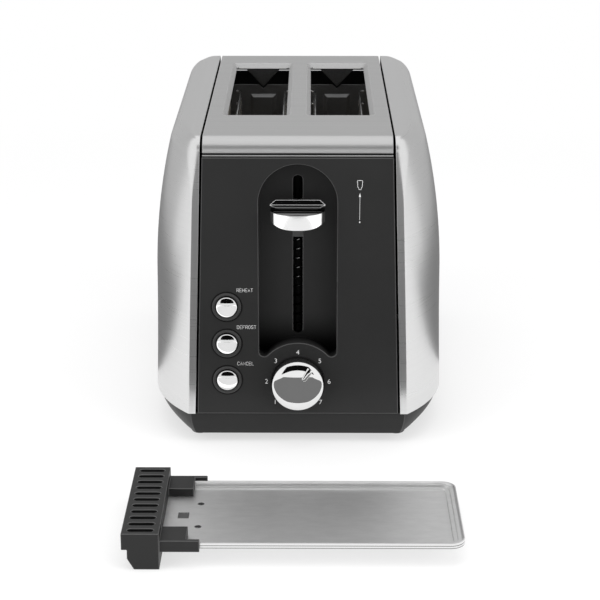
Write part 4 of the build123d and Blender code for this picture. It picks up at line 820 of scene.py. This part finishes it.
def browning_knob():
    """A dark barrel, a bright cap with a rolled rim, and a raised pointer on the cap."""
    centre = (0.0, DIAL_Z)
    low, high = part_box("browning_knob")
    radius = (high.x - low.x) / 2
    back, face = high.y, low.y + KNOB_RELIEF
    rim = face + knob_face(radius)
    inner = radius - KNOB_STEP
    barrel = [(0, back), (inner - KNOB_STEP, back), (inner, back - KNOB_STEP), (inner, rim), (0, rim)]
    stand_in("knob_barrel", lathe(barrel, centre), "browning_knob", finish=BLACK_GLOSS_AND_REFLECTION, slot="black_plastic")
    radii = evenly(0.0, KNOB_DOME_RADIUS, KNOB_STEPS)
    end = asin(sin(KNOB_TILT) + (radius - KNOB_DOME_RADIUS) / KNOB_ROLL)
    turns = evenly(KNOB_TILT, end, KNOB_STEPS)[1:]
    radii += [KNOB_DOME_RADIUS + KNOB_ROLL * (sin(t) - sin(KNOB_TILT)) for t in turns]
    cap = [(r, face + knob_face(r)) for r in radii] + [(inner - KNOB_STEP, rim + KNOB_STEP), (0, rim + KNOB_STEP)]
    stand_in("knob_cap", lathe(cap, centre, CAP_STEPS), "browning_knob", sharp=40.0)

    turn = radians(POINTER_TURN)
    along = Vector((sin(turn), cos(turn)))
    across = Vector((cos(turn), -sin(turn)))
    form = bmesh.new()
    rows = []
    for share in evenly(0.0, 1.0, POINTER_STEPS):
        reach = POINTER_INNER + (POINTER_OUTER - POINTER_INNER) * share
        nose = sqrt(max(0.0, 1 - max(0.0, 1 - share / POINTER_NOSE) ** 2))
        width = (POINTER_WIDTH / 2) * nose * (POINTER_TAPER + (1 - POINTER_TAPER) * share)
        row = []
        for angle in evenly(0.0, pi, POINTER_ARCH_STEPS):
            spot = along * reach + across * width * cos(angle)
            lift = POINTER_LIFT * nose * sin(angle) ** POINTER_ARCH - POINTER_SINK
            y = face + knob_face(min(spot.length, radius - WELD)) - lift
            row.append((spot.x, max(y, low.y), DIAL_Z + spot.y))
        rows.append(row)
    skin(form, rows)
    bmesh.ops.remove_doubles(form, verts=form.verts, dist=WELD)
    bmesh.ops.holes_fill(form, edges=[edge for edge in form.edges if edge.is_boundary])
    stand_in("knob_pointer", form, "browning_knob", sharp=60.0)


def front_circle(node):
    """The middle (x, z) and radius of a round solid that faces the front."""
    low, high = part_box(node)
    return ((low.x + high.x) / 2, (low.z + high.z) / 2), (high.x - low.x) / 2


def push_button(node):
    """A bright dome with a rolled edge, on its stem."""
    low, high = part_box(node)
    centre, radius = front_circle(node)
    dome_radius = radius - BUTTON_ROLL
    tilt = asin(dome_radius / BUTTON_SPHERE)
    sag = BUTTON_SPHERE * (1 - cos(tilt))
    face = low.y
    back = face + BUTTON_DEPTH
    turns = evenly(0.0, tilt, BUTTON_DOME_STEPS)
    profile = [(BUTTON_SPHERE * sin(t), face + BUTTON_SPHERE * (1 - cos(t))) for t in turns]
    roll = BUTTON_ROLL / (1 - sin(tilt))
    for turn in evenly(tilt, pi / 2, BUTTON_ROLL_STEPS)[1:]:
        profile.append((dome_radius + roll * (sin(turn) - sin(tilt)), face + sag + roll * (cos(tilt) - cos(turn))))
    profile += [(radius, back), (BUTTON_STEM, back), (BUTTON_STEM, high.y), (0, high.y)]
    form = lathe(profile, centre)
    return stand_in(f"{node}_cap", form, node, sharp=40.0, finish=BUTTON_CHROME)


def button_bezel(node):
    """A rounded ring with the paler finish of a painted edge highlight, in a groove painted black as shade, round a
    button.
    """
    centre, radius = front_circle(node)
    inner = radius + BEZEL_GAP
    outer = BEZEL_RADIUS - BEZEL_GROOVE
    half = (outer - inner) / 2
    height = FRONT_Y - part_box("button_bezels")[0].y
    ring = [(inner, FRONT_Y)]
    for turn in evenly(0.0, pi, HALF_TURN_STEPS):
        rise = height * (BEZEL_EDGE + (1 - BEZEL_EDGE) * sin(turn))
        ring.append((inner + half - half * cos(turn), FRONT_Y - rise))
    ring += [(outer, FRONT_Y), (inner, FRONT_Y)]
    stand_in(f"{node}_ring", lathe(ring, centre), "button_bezels", finish=EDGES["black_plastic"])
    edge, floor = inner - BEZEL_GAP / 2, FRONT_Y - GROOVE_LIFT
    groove = [(edge, floor), (BEZEL_RADIUS, floor), (BEZEL_RADIUS, FRONT_Y), (edge, FRONT_Y), (edge, floor)]
    stand_in(f"{node}_groove", lathe(groove, centre), "button_bezels", finish=PAINTED_SHADE_BLACK)


def dial_groove():
    """A ring round the knob's foot, painted black as the shade in the gap there."""
    low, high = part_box("dial_ring")
    outer = (high.x - low.x) / 2
    inner = outer - DIAL_RING_WIDTH
    cut = DIAL_RING_CHAMFER
    profile = [
        (inner, high.y), (inner, low.y + cut), (inner + cut, low.y), (outer - cut, low.y), (outer, low.y + cut),
        (outer, high.y), (inner, high.y),
    ]
    form = lathe(profile, (0.0, DIAL_Z), DIAL_RING_STEPS)
    stand_in("dial_groove", form, "dial_ring", sharp=50.0, finish=PAINTED_SHADE_BLACK)


def level_corners(level, back):
    """The corners of the ridge at a level: its height, half width and front."""
    z, reach, front = level
    return [Vector((x, y, z)) for x, y in ((-reach, back), (-reach, front), (reach, front), (reach, back))]


def bead(form, start, end, radius):
    """Adds a thin round bead along an edge."""
    along = (end - start).normalized()
    across = along.orthogonal().normalized()
    over = along.cross(across)
    ring = [radius * (across * cos(t) + over * sin(t)) for t in circle(BEAD_STEPS)]
    solid(form, [[spot + way for way in ring] for spot in (start, end)])


def lever_bar():
    """A bowed finger bar, thinner at its ends, with a faceted ridge standing at its back."""
    low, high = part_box("lever_knob")
    half = high.x - RIDGE_OVERHANG
    back, foot, crown = high.y, low.z, high.z
    top = crown - RIDGE_HEIGHT
    bow = (half**2 + LEVER_SAG**2) / (2 * LEVER_SAG)
    r = LEVER_ROUND
    form = bmesh.new()
    rows = []
    for way in evenly(0.0, pi, LEVER_STEPS):
        x = -half * cos(way)
        front = low.y + bow - sqrt(bow**2 - x**2) + max(0.0, abs(x) - (half - LEVER_CORNER))
        under = foot + LEVER_ARCH * abs(x / half) ** LEVER_ARCH_POWER
        row = [(back, under)]
        for height, start in ((under + r, pi), (top - r, 1.5 * pi)):
            turns = evenly(start, start + pi / 2, LEVER_ROUND_STEPS)
            row += [(front + r + r * sin(t), height + r * cos(t)) for t in turns]
        row.append((back, top))
        rows.append([(x, y, z) for y, z in row])
    solid(form, rows)
    bmesh.ops.remove_doubles(form, verts=form.verts, dist=FINE_WELD)
    bar = stand_in("lever_bar", form, "lever_knob", finish=SOFT_CHROME)
    # Painted reflection: the bar's top faces get a near-black chrome, for the dark they mirror
    paint(bar, DARK_REFLECTION_CHROME, lambda face: face.normal.z > LEVER_TOP_TILT)

    form = bmesh.new()
    tip = high.x
    shoulder = tip - RIDGE_MITRE
    nose = back - RIDGE_DEPTH
    neck = (shoulder - RIDGE_NECK, nose + RIDGE_NECK)
    levels = (
        (top, *neck), (crown - RIDGE_SOLE, *neck), (crown - RIDGE_SOLE, shoulder, nose + RIDGE_UNDERCUT),
        (crown - RIDGE_NOSE, tip, nose), (crown, shoulder, nose + RIDGE_SLANT),
    )
    corners = [level_corners(level, back) for level in levels]
    solid(form, corners)
    ridge = stand_in("lever_ridge", form, "lever_knob", sharp=5.0)
    # Painted reflection: the ridge's lower faces are glossy black, for the dark that their chrome would mirror
    paint(ridge, BLACK_GLOSS_AND_REFLECTION, lambda face: face.center.z < crown - RIDGE_NOSE)
    form = bmesh.new()
    sole, nose_row, crown_row = corners[2:]
    for row in (sole, nose_row, crown_row):
        bead(form, row[1], row[2], RIDGE_BEAD)
    for end in (1, 2):
        bead(form, sole[end], nose_row[end], RIDGE_BEAD)
        bead(form, nose_row[end], crown_row[end], RIDGE_BEAD)
    edges = stand_in("lever_ridge_edges", form, "lever_knob", sharp=60.0)
    return [bar, ridge, edges]


# The crumb tray
def tray_rim():
    """The tray's pressed rim: a rolled edge and two ridges inside it, round three sides."""
    low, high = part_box("tray_plate")
    form = bmesh.new()
    lines = []
    for inset, rise in RIM_PROFILE:
        inset, z = inset * MM, low.z + rise * MM
        radius = RIM_CORNER - inset
        line = [(low.x + RIM_START, high.y - inset)]
        for y, start in ((high.y - RIM_CORNER, pi / 2), (low.y + RIM_CORNER, 0.0)):
            turns = evenly(start, start - pi / 2, RIM_STEPS)
            line += [(high.x - RIM_CORNER + radius * cos(t), y + radius * sin(t)) for t in turns]
        line.append((low.x + RIM_START, low.y + inset))
        lines.append([(x, y, z) for x, y in line])
    rail(form, lines)
    stand_in("tray_rim", form, "tray_plate", sharp=30.0)


def tray_pockets():
    """The tray's two round lances, each a disc painted black as the shade under its hole, with a pressed rim, and
    the sunk seat under its window.
    """
    low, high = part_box("tray_plate")
    middle = (low.y + high.y) / 2
    top = low.z + PLATE_SHEET
    outer = LANCE_RADIUS + LANCE_RIM
    plug = [(0, top + LANCE_LIFT), (LANCE_RADIUS, top + LANCE_LIFT), (LANCE_RADIUS, low.z), (0, low.z)]
    ring = [(LANCE_RADIUS, low.z), (LANCE_RADIUS, top + 2 * LANCE_LIFT), (outer, top + LANCE_LIFT), (outer, low.z)]
    ring.append(ring[0])
    for name, side in (("near", -1), ("far", 1)):
        centre = (low.x + LANCE_X, middle + side * LANCE_Y)
        piece(f"tray_lance_{name}", lathe(plug, centre, LANCE_STEPS, True), POCKET_SHADE_BLACK, "tray")
        piece(f"tray_lance_rim_{name}", lathe(ring, centre, LANCE_STEPS, True), FINISHES["wire_steel"], "tray")
    form = bmesh.new()
    x, y = low.x + WINDOW_X, middle
    corners = rectangle((x - WINDOW_HALF[0], y - WINDOW_HALF[1]), (x + WINDOW_HALF[0], y + WINDOW_HALF[1]))
    solid(form, [[(*corner, z) for corner in corners] for z in (low.z, low.z - POCKET_DEPTH)])
    piece("tray_window_seat", form, FINISHES["oven_steel"], "tray")


def handle_vents(made):
    """Paints the insides of the slots in the top of the tray's handle black, as shade."""
    low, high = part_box("tray_handle")

    def in_slot(face):
        x, y, z = face.center
        inside = VENT_MARGIN < x - low.x < HANDLE_DEPTH - VENT_MARGIN and VENT_LIP < high.z - z < HANDLE_DEPTH / 2
        return inside and low.y + 2 * VENT_MARGIN < y < high.y - 2 * VENT_MARGIN

    paint(made, POCKET_SHADE_BLACK, in_slot)


# Printed marks
def printed(name, text, x, z):
    """A number in white ink on the front panel, standing on a baseline."""
    curve = bpy.data.curves.new(name, "FONT")
    curve.body = text
    curve.align_x = "CENTER"
    curve.size = NUMBER_HEIGHT / CAPITAL_SHARE
    curve.offset = -NUMBER_THIN
    curve.extrude = INK_HEIGHT / 2
    ink = placed(f"{name}_outline", curve)
    bpy.context.view_layer.update()
    mesh = bpy.data.meshes.new_from_object(ink.evaluated_get(bpy.context.evaluated_depsgraph_get()))
    bpy.data.objects.remove(ink)
    for v in mesh.vertices:
        v.co = Vector((x + v.co.x, FRONT_Y - INK_HEIGHT / 2 - v.co.z, z + v.co.y))
    mesh.materials.append(INK)
    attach(placed(name, mesh), "chassis")


def stroke(form, points, width, closed=False):
    """Adds a line of ink of even width through points (x, z) on the front panel."""
    count = len(points)
    face = FRONT_Y - INK_HEIGHT
    rings = []
    for i, (x, z) in enumerate(points):
        before = points[i - 1] if closed or i else points[i]
        after = points[(i + 1) % count] if closed or i < count - 1 else points[i]
        way = Vector((after[0] - before[0], after[1] - before[1])).normalized() * width / 2
        corners = ((-1, face), (1, face), (1, FRONT_Y), (-1, FRONT_Y))
        rings.append([(x - side * way.y, y, z + side * way.x) for side, y in corners])
    if closed:
        skin(form, rings, closed=True, looped=True)
    else:
        solid(form, rings)


def ribbon(name, points, width, closed=False):
    """One printed line."""
    form = bmesh.new()
    stroke(form, points, width, closed)
    piece(name, form, INK)


def blot(name, points):
    """A filled printed shape."""
    form = bmesh.new()
    solid(form, [[(x, y, z) for x, z in points] for y in (FRONT_Y - INK_HEIGHT, FRONT_Y)])
    piece(name, form, INK)


def lettered(name, word, left, foot, width):
    """A word in thin printed capitals."""
    form = bmesh.new()
    pitch = width / (len(word) - 1 + LETTER_SHARE)
    for i, letter in enumerate(word):
        for points in LETTERS[letter]:
            spots = [(left + pitch * (i + LETTER_SHARE * x), foot + WORD_HEIGHT * z) for x, z in points]
            stroke(form, spots, WORD_STROKE)
    piece(name, form, INK)


def panel_marks():
    """Numbers round the dial, the buttons' words and the lever's lift mark."""
    middle = (DIAL_NUMBERS + 1) / 2
    for number in range(1, DIAL_NUMBERS + 1):
        turn = radians((number - middle) * NUMBER_STEP)
        x = NUMBER_RADIUS * sin(turn)
        z = DIAL_Z + NUMBER_RADIUS * cos(turn) - NUMBER_HEIGHT / 2
        printed(f"number_{number}", str(number), x, z)
    for word, width in WORDS.items():
        foot = front_circle(f"{word}_button")[0][1] + WORD_RISE
        lettered(f"word_{word}", word.upper(), WORD_LEFT, foot, width)
    ribbon("lift_slice", [(MARK_X + x * MM, z * MM) for x, z in SLICE_OUTLINE], SLICE_STROKE, True)
    ribbon("lift_shaft", [(MARK_X, SHAFT_FOOT), (MARK_X, SHAFT_TOP)], SHAFT_STROKE)
    head = [(MARK_X - HEAD_HALF, SHAFT_TOP), (MARK_X + HEAD_HALF, SHAFT_TOP), (MARK_X, SHAFT_TOP + HEAD_HEIGHT)]
    blot("lift_head", head)
    ring = circle(SPOT_STEPS)
    blot("lift_spot", [(MARK_X + SPOT_RADIUS * cos(t), SPOT_Z + SPOT_RADIUS * sin(t)) for t in ring])


# Studio
def sheet(name, corners, height, finish):
    """A flat sheet on the set, level at a height."""
    form = bmesh.new()
    form.faces.new([form.verts.new((x, y, height)) for x, y in corners])
    made = meshed(name, form, finish)
    return made


def card(name, corners, height, shade, turn=(0, 0, 0), place=(0, 0, 0)):
    """A grey card on the set that shows only in reflections, and only from its front."""
    finish = Shader(name)
    glow = finish.add("ShaderNodeEmission", {"Color": (*grey(shade), 1)})
    side = finish.add("ShaderNodeNewGeometry").outputs["Backfacing"]
    finish.either(side, glow.outputs[0], finish.add("ShaderNodeBsdfTransparent").outputs[0])
    made = sheet(name, corners, height, finish.material)
    made.rotation_euler = [radians(a) for a in turn]
    made.location = place
    for kind in ("camera", "diffuse", "transmission", "shadow", "volume_scatter"):
        setattr(made, f"visible_{kind}", False)


def softbox(name, place, aim, size, power, receivers=()):
    """A rectangular area lamp aimed at a point, for everything or for some pieces only."""
    lamp = bpy.data.lights.new(name, "AREA")
    lamp.shape = "RECTANGLE"
    lamp.size, lamp.size_y = size
    lamp.energy = power
    made = placed(name, lamp)
    made.location = place
    made.rotation_euler = (Vector(aim) - Vector(place)).to_track_quat("-Z", "Y").to_euler()
    made.visible_camera = False
    made.visible_glossy = bool(receivers)
    if receivers:
        group = bpy.data.collections.new(f"{name}_receivers")
        for receiver in receivers:
            group.objects.link(receiver)
        made.light_linking.receiver_collection = group


def seen_rays(tree):
    """One for what the camera sees, itself, mirrored or through something."""
    path = tree.nodes.new("ShaderNodeLightPath")
    total = path.outputs["Is Camera Ray"]
    for kind in ("Glossy", "Transmission"):
        node = tree.nodes.new("ShaderNodeMath")
        node.operation = "MAXIMUM"
        tree.links.new(total, node.inputs[0])
        tree.links.new(path.outputs[f"Is {kind} Ray"], node.inputs[1])
        total = node.outputs[0]
    return total


def floor():
    """A white floor that shows the object's shadow near it, and is plain white farther off."""
    finish = Shader("floor")
    finish.set(Base_Color=(*grey(FLOOR_GREY), 1), Roughness=0.9, Specular_IOR_Level=0.0)
    far = finish.add("ShaderNodeVectorMath", operation="LENGTH")
    finish.join(finish.points, far.inputs[0])
    share = finish.span(far.outputs["Value"], *FLOOR_GLOW, FLOOR_GLOW_START, FLOOR_GLOW_END)
    total = finish.add("ShaderNodeMath", operation="MULTIPLY")
    finish.join(share, total.inputs[0])
    finish.join(seen_rays(finish.tree), total.inputs[1])
    finish.either(total.outputs[0], finish.surface.outputs[0], finish.add("ShaderNodeEmission").outputs[0])
    sheet("floor", rectangle((-FLOOR_HALF, -FLOOR_HALF), (FLOOR_HALF, FLOOR_HALF)), FLOOR_Z, finish.material)


def background():
    """A white background, which lights the object less than it shows."""
    world = bpy.data.worlds.new("studio")
    bpy.context.scene.world = world
    world.use_nodes = True
    tree = world.node_tree
    tree.nodes.clear()
    mix = tree.nodes.new("ShaderNodeMixShader")
    tree.links.new(seen_rays(tree), mix.inputs["Fac"])
    for i, strength in ((1, WORLD_FILL), (2, 1.0)):
        glow = tree.nodes.new("ShaderNodeBackground")
        glow.inputs["Strength"].default_value = strength
        glow.inputs["Color"].default_value = (1, 1, 1, 1)
        tree.links.new(glow.outputs[0], mix.inputs[i])
    out = tree.nodes.new("ShaderNodeOutputWorld")
    tree.links.new(mix.outputs[0], out.inputs["Surface"])


def studio(bright_pieces, top_pieces, covers):
    """A white floor and background, soft lamps and grey cards."""
    background()
    floor()
    x, y, z = SIDE_BOX_PLACE
    for name, side in (("left", -1), ("right", 1)):
        softbox(f"{name}_box", (side * x, y, z), LAMP_AIM, SIDE_BOX_SIZE, SIDE_BOX_POWER)
    softbox("top_box", TOP_BOX_PLACE, LAMP_AIM, TOP_BOX_SIZE, TOP_BOX_POWER)
    under, over = [(0.0, FRONT_Y - BOUNCE_AHEAD, z) for z in (BOUNCE_HEIGHT, BOUNCE_AIM)]
    softbox("front_bounce", under, over, BOUNCE_SIZE, FRONT_BOUNCE_POWER, bright_pieces)
    softbox("drop_bounce", under, over, BOUNCE_SIZE, DROP_BOUNCE_POWER, top_pieces)
    x, z = FRONT_CARD_HALF
    place = (0.0, FRONT_Y - FRONT_CARD_AHEAD, FILL_HEIGHT)
    card("front_card", rectangle((-x, -z), (x, z)), 0, FRONT_CARD_SHADE, (-90, 0, 0), place)
    place, aim = [(0.0, FRONT_Y - ahead, FILL_HEIGHT) for ahead in (FILL_AHEAD, 0.0)]
    softbox("bend_fill", place, aim, FILL_SIZE, FILL_POWER, top_pieces + covers)
    x, y = APRON_HALF
    oval = [(x * cos(t), FRONT_Y - APRON_START + y * (sin(t) - 1)) for t in circle(APRON_STEPS)]
    card("apron", oval, APRON_HEIGHT, APRON_SHADE)
    x, z = REAR_CARD_HALF
    place = (0.0, FRONT_Y + REAR_CARD_BEHIND, z)
    card("rear_card", rectangle((-x, -z), (x, z)), 0, REAR_CARD_SHADE, (90, 0, 0), place)
    end = FRONT_Y + FLAG_END
    for name, side, start in zip(("left", "right"), (-1, 1), FLOOR_FLAG_STARTS):
        low, high = sorted((0, side * FLAG_HEIGHT))
        upright = rectangle((low, FRONT_Y + FLAG_START), (high, end))
        card(f"side_flag_{name}", upright, 0, FLAG_SHADE, (0, -90 * side, 0), (side * FLAG_X, 0, 0))
        low, high = sorted((side * FLOOR_FLAG_INNER, side * FLAG_X))
        level = rectangle((low, FRONT_Y + start), (high, end))
        card(f"floor_flag_{name}", level, FLOOR_FLAG_Z, FLOOR_FLAG_SHADE)


def camera():
    lens = bpy.data.cameras.new("camera")
    lens.lens = CAMERA_LENS
    lens.sensor_width = SENSOR_WIDTH
    made = placed("camera", lens)
    made.location = (CAMERA_X, FRONT_Y - CAMERA_SETBACK, CAMERA_HEIGHT)
    made.rotation_euler = (radians(90 - CAMERA_PITCH), 0, radians(CAMERA_YAW))
    bpy.context.scene.camera = made


def base_finishes():
    """Gives each solid its slot's finish, but the front bulkhead and the guide rod, which show through gaps, are
    painted near black as shade, the tray's rivets are made dark, and the return spring gets steel painted into shade
    below its glints.
    """
    for sub in frame["record"]["subparts"]:
        data = nodes[sub["node"]].data
        data.materials.clear()
        data.materials.append(FINISHES[sub["material_slot"]])
    for node, finish in (
        ("tray_rivets", BLACK_STEEL_AND_SHADE), ("front_bulkhead", BLACK_STEEL_AND_SHADE), ("guide_rod", PAINTED_SHADE_BLACK),
        ("return_spring", SPRING_STEEL),
    ):
        nodes[node].data.materials[0] = finish


def spring_motion():
    """Gives the return spring a mesh of its own."""
    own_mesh(nodes["return_spring"])


base_finishes()
spring_motion()
covers = [side_cover("left", -1), side_cover("right", 1)]
top_pieces = top_hem()
for node, bevel, segments in ROUNDED:
    made = refined(node, bevel, segments)
    if node == "top_cover":
        slot_mouths(made)
        top_pieces.append(made)
    if node == "tray_plate":
        # The tray plate's walls get the painted shade lines of its folds
        paint(made, FOLD_SHADE_STEEL, lambda face: abs(face.normal.z) < WALL_TILT)
    if node == "tray_handle":
        handle_vents(made)
browning_knob()
dial_groove()
bright_pieces = lever_bar()
for word in WORDS:
    bright_pieces.append(push_button(f"{word}_button"))
    button_bezel(f"{word}_button")
tray_rim()
tray_pockets()
panel_marks()
studio(bright_pieces, top_pieces, covers)
camera()
bpy.context.scene.view_settings.view_transform = "Standard"
